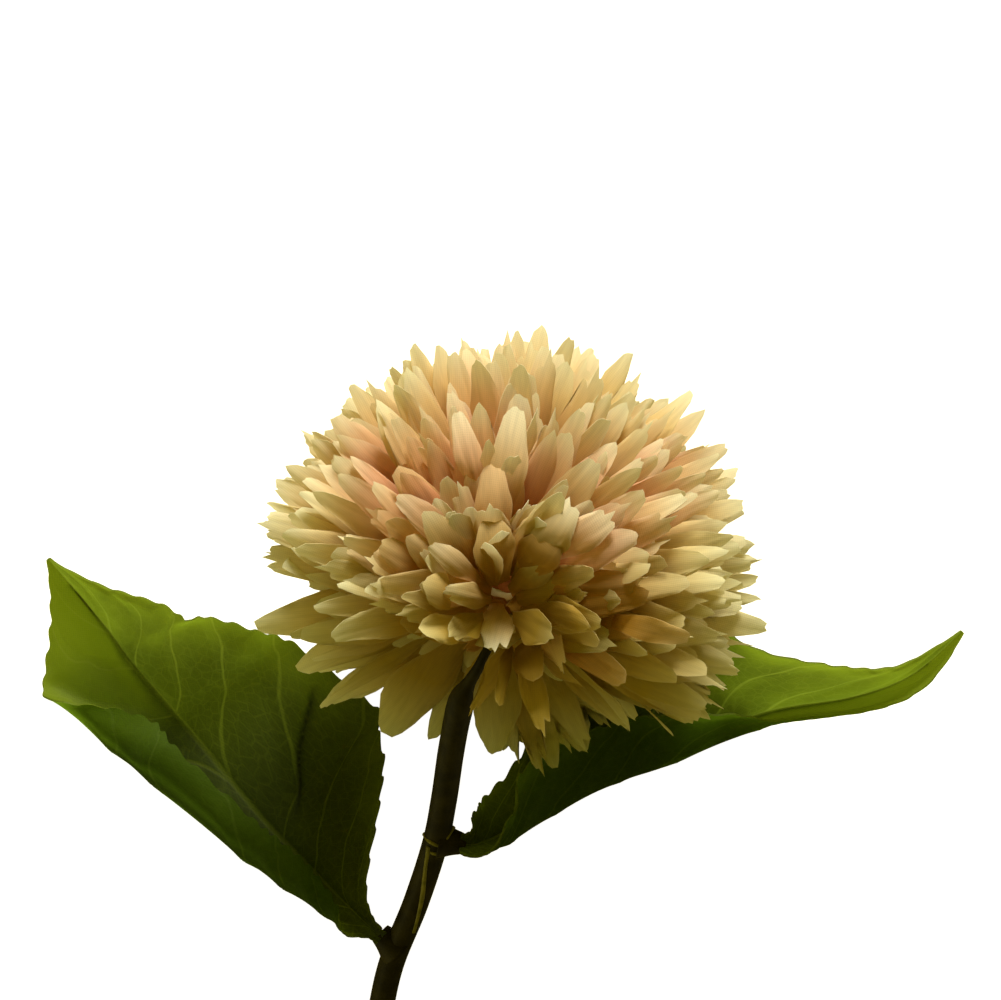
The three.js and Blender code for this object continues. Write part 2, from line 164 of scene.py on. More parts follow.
def give_thickness(piece, millimetres):
    """Thin cloth; its open edges are marked sharp, so the narrow rim doesn't round the shading."""
    mesh = piece.data
    used = np.zeros(len(mesh.loops), int)
    mesh.loops.foreach_get("edge_index", used)
    sharp = mesh.attributes.new("sharp_edge", "BOOLEAN", "EDGE")
    sharp.data.foreach_set("value", np.bincount(used, minlength=len(mesh.edges)) == 1)
    layer = piece.modifiers.new("cloth thickness", "SOLIDIFY")
    layer.thickness, layer.offset = millimetres * MM, 0
    return layer


def tube(rows, steps, sides):
    """Points and faces of a round tube along rows of x, y, z, radius."""
    rings = along(rows, np.linspace(0, 1, steps + 1))
    centre = rings[:, :3]
    forward = unit(np.gradient(centre, axis=0))
    across = np.array([1.0, 0, 0])
    turn = np.linspace(0, 2 * math.pi, sides, endpoint=False)
    points = []
    for middle, run, radius in zip(centre, forward, rings[:, 3]):
        across = unit(across - run * np.dot(across, run))
        up = np.cross(run, across)
        points.append(middle + radius * (np.outer(np.cos(turn), across) + np.outer(np.sin(turn), up)))
    return np.concatenate(points), closed_tube_faces(steps + 1, sides)


test_points = tube([[0, 0, 0, 1], [0, 0, 10, 1], [5, 0, 20, 1]], 20, 12)[0]
print("a test tube spans", (test_points.max(0) - test_points.min(0)).round(1), "mm")

# %% [markdown]
# ## Camera, table and light
# The flower lies flat, so it is seen from straight above with a long lens, which keeps the near
# petals from looking too large. The key light comes low from the side of the bloom's crown: it
# shines along the petals, lights the tips that rise into it and leaves the underside of the ball in
# a soft brown shade. A broad warm light above, a weak one low at the left and a dim warm sky open
# the shadows. To the camera alone the table glows, as a light table does, so it stays pale.

# %% Camera, table and light
scene = bpy.context.scene
camera = bpy.data.objects.new("camera", bpy.data.cameras.new("camera"))
scene.collection.objects.link(camera)
scene.camera = camera
camera.location = (-0.0013, 0.018, 1.046)
camera.data.sensor_width = 36
camera.data.lens = 18 / 0.1001  # half the film's width over half the field's, at one metre
camera.data.clip_start, camera.data.clip_end = 0.05, 20


def area_light(name, place, target, size, watts, colour):
    lamp = bpy.data.lights.new(name, "AREA")
    lamp.size, lamp.energy, lamp.color = size, watts, colour
    holder = bpy.data.objects.new(name, lamp)
    holder.location = place
    aim = Vector(target) - Vector(place)
    holder.rotation_euler = aim.to_track_quat("-Z", "Y").to_euler()
    scene.collection.objects.link(holder)


area_light("key light", (0.10, 0.98, 0.51), (0, 0, 0.04), 0.32, 20, (1, 0.97, 0.86))
area_light("soft top light", (-0.4, 0.1, 1.3), (0, 0, 0.03), 0.9, 1.5, (1, 0.86, 0.14))
area_light("low fill light", (-0.48, -0.32, 0.13), (-0.02, -0.02, 0.04), 0.25, 0.5, (1, 0.96, 0.4))
scene.view_settings.view_transform = "Standard"
scene.world = bpy.data.worlds.new("studio")
scene.world.use_nodes = True
sky = scene.world.node_tree
seen = sky.nodes.new("ShaderNodeLightPath").outputs["Is Camera Ray"]
tint = sky.nodes.new("ShaderNodeMix")
tint.data_type = "RGBA"
tint.inputs[6].default_value = (0.125, 0.108, 0.009, 1)
tint.inputs[7].default_value = (0.92, 0.92, 0.92, 1)
sky.links.new(seen, tint.inputs[0])
sky.links.new(tint.outputs[2], sky.nodes["Background"].inputs["Color"])

half = 2500.0
corners = [[-half, -half, 0], [half, -half, 0], [half, half, 0], [-half, half, 0]]
floor = mesh_object("table", corners, [[0, 1, 2, 3]], smooth=False)
white = bpy.data.materials.new("pale table")
white.use_nodes = True
shader = white.node_tree.nodes["Principled BSDF"]
shader.inputs["Base Color"].default_value = (0.85, 0.80, 0.50, 1)
shader.inputs["Roughness"].default_value = 0.9
shader.inputs["Specular IOR Level"].default_value = 0.1
shader.inputs["Emission Color"].default_value = (1, 1, 1, 1)
seen = white.node_tree.nodes.new("ShaderNodeLightPath").outputs["Is Camera Ray"]
white.node_tree.links.new(seen, shader.inputs["Emission Strength"])
floor.data.materials.append(white)
print("camera at", [round(v, 4) for v in camera.location], "lens", round(camera.data.lens, 1))

# %% [markdown]
# ## Wiring nodes
# A material is a graph of nodes. Making each node by hand takes many lines, so one helper makes a
# node, sets its options and either links or fills its inputs. The others are short names for the
# nodes that come up most: sums, blends, fades, colour ramps and the numbers stored on the points.


# %% Wiring nodes
def feed(tree, made, inputs):
    """Links or fills a node's inputs."""
    for label, value in inputs.items():
        if isinstance(value, bpy.types.NodeSocket):
            tree.links.new(value, made.inputs[label])
        else:
            made.inputs[label].default_value = value


def node(tree, kind, inputs=None, **options):
    made = tree.nodes.new("ShaderNode" + kind)
    for label, value in options.items():
        setattr(made, label, value)
    feed(tree, made, inputs or {})
    return made


def calc(tree, operation, a, b=0.0, c=0.0, clamp=False):
    return node(tree, "Math", {0: a, 1: b, 2: c}, operation=operation, use_clamp=clamp).outputs[0]


def blend(tree, factor, a, b, how="MIX"):
    made = node(tree, "Mix", {0: factor, 6: a, 7: b}, data_type="RGBA", blend_type=how)
    return made.outputs[2]


def darken(tree, colour, shade):
    """The colour times a grey shade."""
    grey = node(tree, "CombineColor", {0: shade, 1: shade, 2: shade}).outputs[0]
    return blend(tree, 1.0, colour, grey, "MULTIPLY")


def fade(tree, value, low, high, start=0.0, end=1.0):
    """A smooth fade from start to end as value goes from low to high."""
    made = node(tree, "MapRange", {"Value": value, "From Min": low, "From Max": high,
                                   "To Min": start, "To Max": end}, interpolation_type="SMOOTHSTEP")
    return made.outputs[0]


def ramp(tree, value, stops):
    made = node(tree, "ValToRGB", {"Fac": value})
    bar = made.color_ramp
    while len(bar.elements) < len(stops):
        bar.elements.new(0.5)
    for element, (place, colour) in zip(bar.elements, stops):
        element.position, element.color = place, (*colour, 1)
    return made.outputs["Color"]


def stored(tree, label, output="Fac"):
    return node(tree, "Attribute", attribute_name=label).outputs[output]


print("helpers ready:", ", ".join(f.__name__ for f in (node, calc, blend, darken, fade, ramp, stored)))

# %% [markdown]
# ## Groups and shaders
# Effects that several materials share become node groups: boxes with named inputs and outputs that
# can be placed again and again. The shader itself stays in the material, with its fixed values set on
# its own sockets. Thin cloth lets light through, so its shader is mixed with a translucent one.


# %% Groups and shaders
def group(name, inputs, outputs):
    """An empty node group with its sockets: the tree, what comes in, and what goes out."""
    tree = bpy.data.node_groups.new(name, "ShaderNodeTree")
    kinds = {"value": "NodeSocketFloat", "colour": "NodeSocketColor", "vector": "NodeSocketVector"}
    for label, kind, start in inputs:
        socket = tree.interface.new_socket(label, in_out="INPUT", socket_type=kinds[kind])
        if start is not None:
            socket.default_value = start
    for label, kind in outputs:
        tree.interface.new_socket(label, in_out="OUTPUT", socket_type=kinds[kind])
    return tree, tree.nodes.new("NodeGroupInput").outputs, tree.nodes.new("NodeGroupOutput").inputs


def place_group(tree, group_tree, inputs):
    made = tree.nodes.new("ShaderNodeGroup")
    made.node_tree = group_tree
    feed(tree, made, inputs)
    return made.outputs


def new_material(name, **constants):
    """A material with its shader's fixed values set on the shader itself."""
    material = bpy.data.materials.new(name)
    material.use_nodes = True
    surface = material.node_tree.nodes["Principled BSDF"]
    for label, value in constants.items():
        surface.inputs[label.replace("_", " ")].default_value = value
    return material, material.node_tree, surface


def bump(tree, surface, height, strength, millimetres):
    made = node(tree, "Bump", {"Height": height, "Strength": strength, "Distance": millimetres * MM})
    tree.links.new(made.outputs["Normal"], surface.inputs["Normal"])


def let_light_through(tree, surface, colour, share):
    """Thin cloth: part of the light leaves by the other side.

    The cloth has two skins; the inner side of each is clear, so light is thinned out only once.
    """
    glow = node(tree, "BsdfTranslucent", {"Color": colour})
    both = node(tree, "MixShader", {0: share, 1: surface.outputs[0], 2: glow.outputs[0]})
    from_inside = node(tree, "NewGeometry").outputs["Backfacing"]
    open_side = node(tree, "BsdfTransparent")
    thin = node(tree, "MixShader", {0: from_inside, 1: both.outputs[0], 2: open_side.outputs[0]})
    tree.links.new(thin.outputs[0], tree.nodes["Material Output"].inputs["Surface"])


print("helpers ready:", ", ".join(f.__name__ for f in (group, place_group, new_material, bump)))

# %% [markdown]
# ## Cloth weave
# Petals and leaves are both plain woven cloth: threads that pass over and under each other like a
# tiny chessboard. The product of two sines has exactly that pattern. The group takes the flat place
# on the cloth in millimetres, so the threads keep their size on every petal. It puts out a height for
# the bump and a mask of how much thread shows.

# %% Cloth weave
weave, came, leaves = group(
    "cloth weave",
    [("Place", "vector", None), ("Pitch", "value", 0.3)],
    [("Height", "value"), ("Thread", "value")],
)
parts = node(weave, "SeparateXYZ", {0: came["Place"]})
waves = []
for axis in (0, 1):
    turns = calc(weave, "DIVIDE", parts.outputs[axis], came["Pitch"])
    waves.append(calc(weave, "SINE", calc(weave, "MULTIPLY", turns, math.pi)))
over = calc(weave, "MULTIPLY", *waves)
height = calc(weave, "MULTIPLY_ADD", over, 0.5, 0.5)
slub = node(weave, "TexNoise", {"Vector": came["Place"], "Scale": 1.4, "Detail": 3.0})
uneven = calc(weave, "MULTIPLY_ADD", slub.outputs[0], 0.5, calc(weave, "MULTIPLY", height, 0.75))
weave.links.new(uneven, leaves["Height"])
weave.links.new(height, leaves["Thread"])
print("group:", weave.name, [socket.name for socket in weave.interface.items_tree])

# %% [markdown]
# ## Petal cloth
# The petals are dyed after they are stamped: peach at the root, pink on some, and pale cream at the
# tip.
# Towards the root the colours also darken, as painted shade of the deep gaps between the petals. Fine
# streaks run along each petal, the cut edge is frayed and lighter, partly as a painted highlight, and
# the cloth is thin enough to glow. The colour is read from how far along the petal a point is, from
# how blushed or greenish that petal is and how much painted shade it has, and from how near its edge
# it is.

# %% Petal cloth
petal_cloth, tree, surface = new_material("petal cloth", Roughness=0.78, Specular_IOR_Level=0.25)
run = stored(tree, "along")
# The dark colours towards the root are partly peach dye, partly painted shade of the gaps between
# petals.
plain = ramp(tree, run, [(0.0, (0.34, 0.10, 0.002)), (0.60, (0.56, 0.29, 0.04)),
                         (0.84, (0.78, 0.61, 0.28)), (1.0, (0.90, 0.87, 0.62))])
pink = ramp(tree, run, [(0.0, (0.42, 0.10, 0.015)), (0.60, (0.70, 0.28, 0.10)),
                        (0.86, (0.82, 0.50, 0.30)), (1.0, (0.90, 0.79, 0.55))])
greenish = ramp(tree, run, [(0.0, (0.29, 0.14, 0.002)), (0.6, (0.54, 0.40, 0.06)),
                            (1.0, (0.86, 0.85, 0.48))])
dyed = blend(tree, stored(tree, "blush"), plain, pink)
dyed = blend(tree, stored(tree, "olive"), dyed, greenish)
place = stored(tree, "flat", "Vector")
stretched = node(tree, "VectorMath", {0: place, 1: (1.0, 0.12, 1.0)}, operation="MULTIPLY")
streaks = node(tree, "TexNoise", {"Vector": stretched.outputs[0], "Scale": 1.1, "Detail": 4.0})
streak = fade(tree, streaks.outputs[0], 0.3, 0.7, 0.92, 1.04)
dyed = darken(tree, dyed, streak)
# The rim is lighter: partly frayed thread, partly a painted highlight where the thin cloth catches
# light.
frayed_rim_and_highlight = fade(tree, stored(tree, "frayed_rim_and_highlight"), 0.9, 1.0, 0.0, 0.08)
dyed = blend(tree, frayed_rim_and_highlight, dyed, (0.90, 0.84, 0.58, 1))
biased = node(tree, "VectorRotate", {"Vector": place, "Angle": 0.6}, rotation_type="Z_AXIS")
threads = place_group(tree, weave, {"Place": biased.outputs[0], "Pitch": 0.28})
shade = fade(tree, threads["Thread"], 0.0, 0.6, 0.90, 1.0)
dyed = darken(tree, dyed, shade)
tree.links.new(dyed, surface.inputs["Base Color"])
bump(tree, surface, threads["Height"], 0.5, 0.06)
let_light_through(tree, surface, dyed, 0.44)
print("material:", petal_cloth.name, "with", len(tree.nodes), "nodes")

# %% [markdown]
# ## Where the leaves lie
# The two leaves lie under the lowest petals, so their shape comes first. Each leaf is a folded
# strip along a curved middle rib. Its far half, towards the bloom, slopes up straight. Its near half
# runs flat, bends up round a radius and runs straight again. The rows hold, from base to tip: the
# rib's place, the far half's width and angle, and the near half's width, flat part, bend radius and
# turn in degrees.

# %% Where the leaves lie
LEAF_LEFT = [
    [-27.9, -70.6, 13.2, 1.6, 0, 2.6, 1, 4, 40],
    [-32.3, -66.5, 11.2, 5.2, 4, 10.4, 2.2, 2.4, 196],
    [-38.6, -60.5, 8.2, 18.2, 6, 18.5, 1.8, 4.4, 202],
    [-44.8, -54.5, 6.2, 28.4, 5, 22.4, 2, 5.6, 206],
    [-51.2, -48.1, 4.6, 34, 6, 25.5, 2.4, 6.6, 208],
    [-64.6, -31.9, 3, 30.6, 14, 31, 6, 7, 208],
    [-70.8, -24.6, 2.8, 27.6, 28, 32, 9.4, 5.4, 196],
    [-78.4, -15.8, 3.2, 23.6, 40, 26, 11.4, 5, 150],
    [-82.6, -9.8, 4.6, 19.6, 43, 18, 13.6, 6, 44],
    [-88.6, -2, 8, 9.7, 48, 8, 7.6, 8, 8],
    [-94.6, 5.7, 14, 0.4, 50, 0.4, 0.3, 8, 0],
]
LEAF_RIGHT = [
    [-7, -52.4, 24.8, 3.4, 0, 5, 0.2, 2, 120],
    [-5, -52, 21.6, 6.4, -2, 12, 0.2, 2.2, 134],
    [-0.8, -50.4, 16.4, 8.2, -10, 19, 0.2, 2.4, 142],
    [8.8, -44.6, 8.8, 11.6, -14, 21.5, 0.3, 2.5, 146],
    [20.6, -38.8, 4.6, 23, -5, 20, 0.3, 2.5, 148],
    [30.2, -35.6, 3.2, 26, -2, 20, 0.3, 2.5, 146],
    [45.7, -29.5, 2.8, 27, 18, 17, 0.3, 2.5, 125],
    [56.5, -25.7, 3.2, 26, 56, 13.6, 0.3, 2.5, 94],
    [72.4, -23, 5.4, 16.6, 61, 7.6, 0.3, 2.5, 86],
    [84, -18.4, 8.8, 8.2, 62, 5, 0.3, 2.5, 64],
    [94, -9.3, 14, 0.4, 50, 0.4, 0.2, 2.5, 30],
]


def leaf_points(rows, u, w):
    """Points of a leaf at u along it and w across: 0 to 1 is the far half, 0 to -1 the near half."""
    u, w = np.broadcast_arrays(np.asarray(u, float), np.asarray(w, float))
    values = along(rows, u)
    point = values[..., :3]
    far_width, far_angle, near_width, flat, bend, turn = np.moveaxis(values[..., 3:], -1, 0)
    run = unit(along(rows, u + 0.01)[..., :3] - along(rows, u - 0.01)[..., :3])
    far = unit(np.cross([0, 0, 1.0], run))
    far = np.where(far[..., 1:2] < 0, -far, far)
    up = np.cross(run, far)
    up = np.where(up[..., 2:] < 0, -up, up)
    reach = np.abs(w) * np.where(w > 0, far_width, near_width)
    straight = np.minimum(reach, flat)
    turned = np.minimum((reach - straight) / bend, np.radians(turn))
    rest = reach - straight - turned * bend
    sideways = np.where(w > 0, reach * np.cos(np.radians(far_angle)),
                        -(straight + bend * np.sin(turned) + rest * np.cos(turned)))
    upwards = np.where(w > 0, reach * np.sin(np.radians(far_angle)),
                       bend * (1 - np.cos(turned)) + rest * np.sin(turned))
    return point + sideways[..., None] * far + upwards[..., None] * up


sample_u, sample_w = np.meshgrid(np.linspace(0, 1, 61), np.linspace(-1, 1, 41))
leaf_tops = np.concatenate([leaf_points(rows, sample_u, sample_w).reshape(-1, 3)
                            for rows in (LEAF_LEFT, LEAF_RIGHT)])


def ground(x, y):
    """Height of what lies under each point: the table, or a leaf with a little room above it."""
    away = (leaf_tops[:, 0] - x[..., None]) ** 2 + (leaf_tops[:, 1] - y[..., None]) ** 2
    return np.where(away < 3.0**2, leaf_tops[:, 2] + 1.0, 0).max(axis=-1)


print("leaf samples:", len(leaf_tops), "highest at", round(leaf_tops[:, 2].max(), 1), "mm")

# %% [markdown]
# ## A petal's curve
# The petals spring from a heart inside the ball and end on a ball round its middle. Each follows a
# curve with one bend: it rises towards the side that shows and then leans outwards. That is what
# makes the rows lie over each other like tiles. A petal that would run into the table or a leaf is
# lifted clear of it.

# %% A petal's curve
HEAD = np.array([0, 0, 46.0])
HEART = np.array([-2, -2, 53.0])
AXIS = unit([0.134, 0.93, -0.342])
EYE = np.array([0, 0, 1.0])
SIDE = unit(np.cross(AXIS, EYE))
NEAR = np.cross(SIDE, AXIS)


def angle_between(a, b):
    return math.acos(max(-1, min(1, float(np.dot(unit(a), unit(b))))))


def petal_curve(root, tip):
    """Root, bend and tip; a petal that points at the eye starts higher and hardly bends."""
    near = 1 - smooth_step(angle_between(tip - HEART, EYE), math.radians(15), math.radians(95))
    root = root + 23 * near * EYE
    chord = tip - root
    length = np.linalg.norm(chord)
    facing = angle_between(chord, EYE)
    bow = 0.42 * (1 - smooth_step(facing, math.radians(25), math.radians(120)))
    bend = root + 0.52 * length * unit(mix(chord, EYE * length, bow))
    return np.array([root, bend, tip])


def curve_point(curve, t):
    t = np.asarray(t)[..., None]
    return (1 - t) ** 2 * curve[0] + 2 * t * (1 - t) * curve[1] + t * t * curve[2]


def curve_run(curve, t):
    t = np.asarray(t)[..., None]
    return unit((1 - t) * (curve[1] - curve[0]) + t * (curve[2] - curve[1]))


def clear_of_ground(curve):
    """Lifts a petal's outer part off the table and the leaves, and says whether it was needed."""
    t = np.array([0.55, 0.65, 0.75, 0.85, 0.93, 1])
    points = curve_point(curve, t)
    lift = max(0, ((ground(points[:, 0], points[:, 1]) - points[:, 2]) / (2 * t - t * t)).max())
    slide = (curve[2] - curve[0]) * [1, 1, 0]
    curve = curve.copy()
    curve[1] += lift * EYE
    curve[2] += lift * EYE + unit(slide) * 0.5 * lift
    return curve, lift > 0.5


print("a curve to the crown:", petal_curve(HEART, HEAD + 50 * AXIS).round(1).tolist())

# %% [markdown]
# ## The spiral
# A chrysanthemum sets its petals by the golden angle, about 137.5 degrees from one to the next, so
# no two stand in line. The first sits on the crown and the last on the skirt round the stem, and each
# has an equal share of the ball. A patch is a round place with a soft edge: in a few patches the
# petals are shorter, so that the outline of the ball isn't too even.

# %% The spiral
PETALS = 240
GOLDEN = math.pi * (3 - math.sqrt(5))
SKIRT = math.radians(119)
CROWN_RADIUS, SKIRT_RADIUS = 51, 47
OPEN_PLACES = [[-48, 0, 7, 0.24], [-44, -14, 6, 0.12], [28, -33, 9, 0.14]]


def spread(tip):
    """Keeps tips that point at the eye from crowding over the heart: they lean outwards."""
    away = (tip - HEART) * [1, 1, 0]
    far = np.linalg.norm(away)
    if tip[2] < 60 or far > 20:
        return tip
    return tip + away / max(far, 0.1) * (mix(11, 20, far / 20) - far) - EYE * 2


def patches(tip, places):
    """How much a place takes part; each has its middle and radius in millimetres and its strength."""
    return max(strength * math.exp(-((tip[0] - x) ** 2 + (tip[1] - y) ** 2) / radius**2)
               for x, y, radius, strength in places)


def planned_petal(i, shorter=1.0, stray=1.2):
    """Petal i of the spiral; half numbers fall between two petals. Its tip strays a little."""
    share = (i + 0.5) / PETALS
    angle = math.acos(1 - share * (1 - math.cos(SKIRT)))
    turn = i * GOLDEN + 0.25 * (chance(i, 1) - 0.5)
    outwards = SIDE * math.cos(turn) + NEAR * math.sin(turn)
    lowness = smooth_step(angle, math.radians(85), SKIRT)
    reach = mix(CROWN_RADIUS, SKIRT_RADIUS, lowness) * (0.95 + 0.08 * chance(i, 2)) * shorter
    root = HEART + AXIS * mix(6, -1, share)
    tip = spread(HEAD + reach * (AXIS * math.cos(angle) + outwards * math.sin(angle)))
    tip = tip + stray * np.array([chance(i, k) * 2 - 1 for k in (31, 32, 33)])
    tip = mix(tip, HEAD, patches(tip, OPEN_PLACES))
    return {"curve": petal_curve(root, tip), "share": share, "outwards": outwards, "seed": i}


plan = [planned_petal(i) for i in range(PETALS)]
longest = max(np.linalg.norm(petal["curve"][2] - petal["curve"][0]) for petal in plan)
print("petals in the plan:", len(plan), "longest", round(longest, 1), "mm")

# %% [markdown]
# ## A flat petal
# A petal is a flat shape first: narrow at its root, widest past its middle, with a rounded point, or
# with three teeth where the die cut it so. The grid isn't cut to that shape: its rows are pushed
# together towards the tip, so every petal has the same faces and the edge stays smooth.


# %% A flat petal
PETAL_ROWS, PETAL_COLUMNS = 13, 9
PETAL_WIDTHS, PETAL_POINTS = (4.8, 8.2), (1.6, 3.2)
TOOTH_DEPTH, PLAIN_SHARE = 0.14, 0.76


def flat_petal(width, point, toothed, seed):
    """How far along and how far across each grid point is on the flat petal."""
    s = np.linspace(0, 1, PETAL_ROWS)[:, None]
    v = np.linspace(-1, 1, PETAL_COLUMNS)[None, :]
    end = 1 - mix(0.18, 0.36, chance(seed, 23)) * np.abs(v) ** point
    if toothed:
        end = end - toothed * np.sin(1.5 * math.pi * v) ** 2 * (0.6 + 0.8 * chance(seed, 21) * (v > 0))
    else:
        end = end + 0.012 * np.sin(9 * v + 40 * chance(seed, 20))
    half = 0.38 + 0.62 * smooth_step(s, 0, 0.75) - 0.20 * smooth_step(s, 0.78, 1)
    across = 0.5 * width * half * v * (1 + 0.16 * (chance(seed, 22) - 0.5) * np.sin(5 * s + 2 * v))
    return s * end, across + width * mix(-0.3, 0.3, chance(seed, 24)) * s**2


print("a plain petal is", round(float(np.ptp(flat_petal(6, 2.4, 0, 1)[1])), 2), "mm wide")

# %% [markdown]
# ## A petal's dye and painted shade
# The petal cloth reads a few numbers at each point of a petal. Patches of the bloom took more pink. In
# a band across the middle of the bloom, where petals lie in the shade of those above, the colour is
# moved towards the darker root colour: that is painted shade. The low petals are greener. The place on
# the flat petal carries the weave, and each petal gets its own part of the cloth.

# %% A petal's dye and painted shade
PINK_PLACES = [
    [-7, 38, 9, 0.9], [-12, 29, 8, 0.8], [26, 14, 9, 0.8], [35, 26, 9, 0.8],
    [-30, 27, 8, 0.9], [14, 30, 7, 0.6], [-25, 14, 9, 0.8], [-21, 26, 8, 0.9],
]
# Places of painted shade, where petals lie in the shade of those above: middle, radius, strength.
PAINTED_SHADE_PLACES = [
    [-21, 26, 7, 0.3], [-23, 12, 7, 0.4], [-13, -3, 10, 0.5], [2, -3, 8, 0.8],
    [14, -4, 10, 0.7], [28, -6, 12, 0.5], [34, -20, 10, 0.5],
]


def blush_of(tip, seed):
    """Some places of the bloom took more pink."""
    return min(1.0, patches(tip, PINK_PLACES) * (0.5 + chance(seed, 15)) + 0.3 * chance(seed, 13))


def cloth_numbers(petal, curve, x, t):
    """What the petal cloth reads at each point: dye, painted shade, pink, green, rim with painted
    highlight, weave.
    """
    seed, tip = petal["seed"], curve[2]
    # Painted shade in the places where petals lie in the shade of those above them.
    deep = petal.get("deep", min(1.0, patches(tip, PAINTED_SHADE_PLACES)))
    low = smooth_step(-tip[1], -34, 26)
    green = petal.get("olive", np.clip(low * mix(0.7, 1.0, chance(seed, 14)), 0, 1))
    # Nearness to the rim and the tip, where frayed thread and a painted highlight lighten the cloth.
    frayed_rim_and_highlight = np.maximum(np.abs(np.linspace(-1, 1, PETAL_COLUMNS))[None, :],
                      np.linspace(0, 1, PETAL_ROWS)[:, None] ** 2)
    length = np.linalg.norm(tip - curve[0]) * t
    flat = np.stack([x, length, np.full_like(x, 9.0 * seed % 700)], -1)
    return {
        # Painted shade moves the colour towards the darker root colour.
        "along": (mix(petal.get("colour_from", 0), 1, t) * (1 - 0.5 * deep)).ravel(),
        "frayed_rim_and_highlight": np.broadcast_to(frayed_rim_and_highlight, x.shape).ravel(),
        "blush": np.full(x.size, blush_of(tip, seed)),
        "olive": np.full(x.size, green),
        "flat": flat.reshape(-1, 3),
    }


pink = [round(blush_of(tip, 1), 2) for tip in ([-7, 38, 60], [0, -30, 40])]
print("pink at the crown and low:", pink)

# %% [markdown]
# ## A bent petal
# The flat shape is laid along its curve and bent: it is cupped like the back of a spoon, softly
# pleated along its length, a little twisted, its edges wave and its tip curls. Each amount comes from
# the repeatable draws, so every petal is its own.


# %% A bent petal
HIDDEN_SHARE = 0.36  # the part of a curve, from its root, that carries no cloth
TABLE_GAP, LEAF_GAP, LEAVES_END = 0.2, 0.3, 32


def petal_sides(petal, run, y):
    """The direction across the petal at each grid point, rolled and twisted a little."""
    seed, outwards = petal["seed"], petal["outwards"]
    away = petal.get("turned_away", 1 - smooth_step(np.dot(outwards, NEAR), -0.5, 0.3))
    wide = mix(unit(np.cross(run, -EYE)), unit(np.cross(outwards, AXIS)), 0.9 * away)
    wide = unit(wide - run * (wide * run).sum(-1, keepdims=True))
    twist = 1.1 * (chance(seed, 7) - 0.5) * (y - 0.4)
    roll = petal.get("roll", 1.1 * (chance(seed, 3) - 0.5)) + twist
    return wide * np.cos(roll)[..., None] + np.cross(run, wide) * np.sin(roll)[..., None]


def petal_bend(petal, width, y, v):
    """How far each grid point stands out of the flat: a cup, pleats, a curled tip, waved edges."""
    seed = petal["seed"]
    cup = -width * mix(-0.02, 0.17, chance(seed, 8)) * v**2
    pleats = mix(0.02, 0.17, chance(seed, 9)) * np.cos(3 * math.pi * v) * smooth_step(y, 0.1, 0.5)
    curl = mix(-1.8, 2.2, chance(seed, 10)) * petal.get("curl", 1.0)
    tip = curl * np.clip((y - 0.5) / 0.5, 0, 1) ** 2
    phase = 6.3 * chance(seed, 11)
    waves = 0.6 * v * np.abs(v) * np.sin(7 * y + phase) * smooth_step(y, 0.1, 0.6)
    return cup + pleats + tip + waves


def petal_mesh(petal):
    """The points of one petal, with its cloth numbers."""
    seed = petal["seed"]
    curve, pressed = clear_of_ground(petal["curve"])
    width = petal.get("size", petal.get("width", 1.0) * mix(*PETAL_WIDTHS, chance(seed, 4)))
    point = petal.get("point", mix(*PETAL_POINTS, chance(seed, 6)))
    toothed = petal.get("toothed", TOOTH_DEPTH if chance(seed, 5) > PLAIN_SHARE else 0.0)
    y, x = flat_petal(width, point, toothed, seed)
    start = petal.get("start", HIDDEN_SHARE)
    t = start + (1 - start) * y
    centre, run = curve_point(curve, t), curve_run(curve, t)
    wide = unit(np.cross(run, -EYE)) if pressed else petal_sides(petal, run, y)
    v = np.broadcast_to(np.linspace(-1, 1, PETAL_COLUMNS)[None, :], x.shape)
    bend = petal_bend(petal, width, y, v)
    out = (0.35 if pressed else 1.0) * np.cross(run, wide)
    points = centre + x[..., None] * wide + bend[..., None] * out
    if pressed:
        points[..., 2] -= 9 * t
    points[..., 2] = np.maximum(points[..., 2], TABLE_GAP)
    if points[..., 2].min() < LEAVES_END:
        under = ground(points[..., 0], points[..., 1]) + LEAF_GAP
        under = np.where(under > LEAF_GAP, under, TABLE_GAP)
        points[..., 2] = np.maximum(points[..., 2], under)
    return points.reshape(-1, 3), cloth_numbers(petal, curve, x, t)


test_points = petal_mesh(plan[40])[0]
print("petal 40 spans", (test_points.max(0) - test_points.min(0)).round(1), "mm")

# %% [markdown]
# ## Petals into pieces
# Hundreds of separate objects would be slow to handle, so many petals share one mesh. The spiral is
# cut into three pieces from the crown to the skirt, so that no mesh grows too heavy.

# %% Petals into pieces
PETAL_THICKNESS = 0.12


def petal_piece(name, petals):
    """One mesh of many petals, as thin cloth."""
    points, faces, numbers = [], [], {}
    for petal in petals:
        found, values = petal_mesh(petal)
        faces.append(grid_faces(PETAL_ROWS, PETAL_COLUMNS, start=len(points) * found.shape[0]))
        points.append(found)
        for label, value in values.items():
            numbers.setdefault(label, []).append(value)
    numbers = {label: np.concatenate(values) for label, values in numbers.items()}
    piece = mesh_object(name, np.concatenate(points), np.concatenate(faces), numbers)
    give_thickness(piece, PETAL_THICKNESS)
    stands_for(piece, "petal_cloth", petal_cloth, "bloom")


for name, low, high in [
        ("petals_crown", 0, 0.34), ("petals_middle", 0.34, 0.67), ("petals_skirt", 0.67, 1)]:
    petal_piece(name, [petal for petal in plan if low <= petal["share"] < high])

# %% [markdown]
# ## Petals in the gaps
# Between the spiral's petals one sees into the bloom, so two sets of slightly shorter petals start at
# half and at a quarter of the way to the next. Low on the left the petals stand apart and nothing
# fills the gaps.


# %% Petals in the gaps
def is_open(petal):
    """Low on the left the petals stand apart, so nothing fills the gaps between them there."""
    tip = petal["curve"][2]
    return tip[0] < -24 and -24 < tip[1] < -3 or tip[0] < -34 and -6 < tip[1] < 4


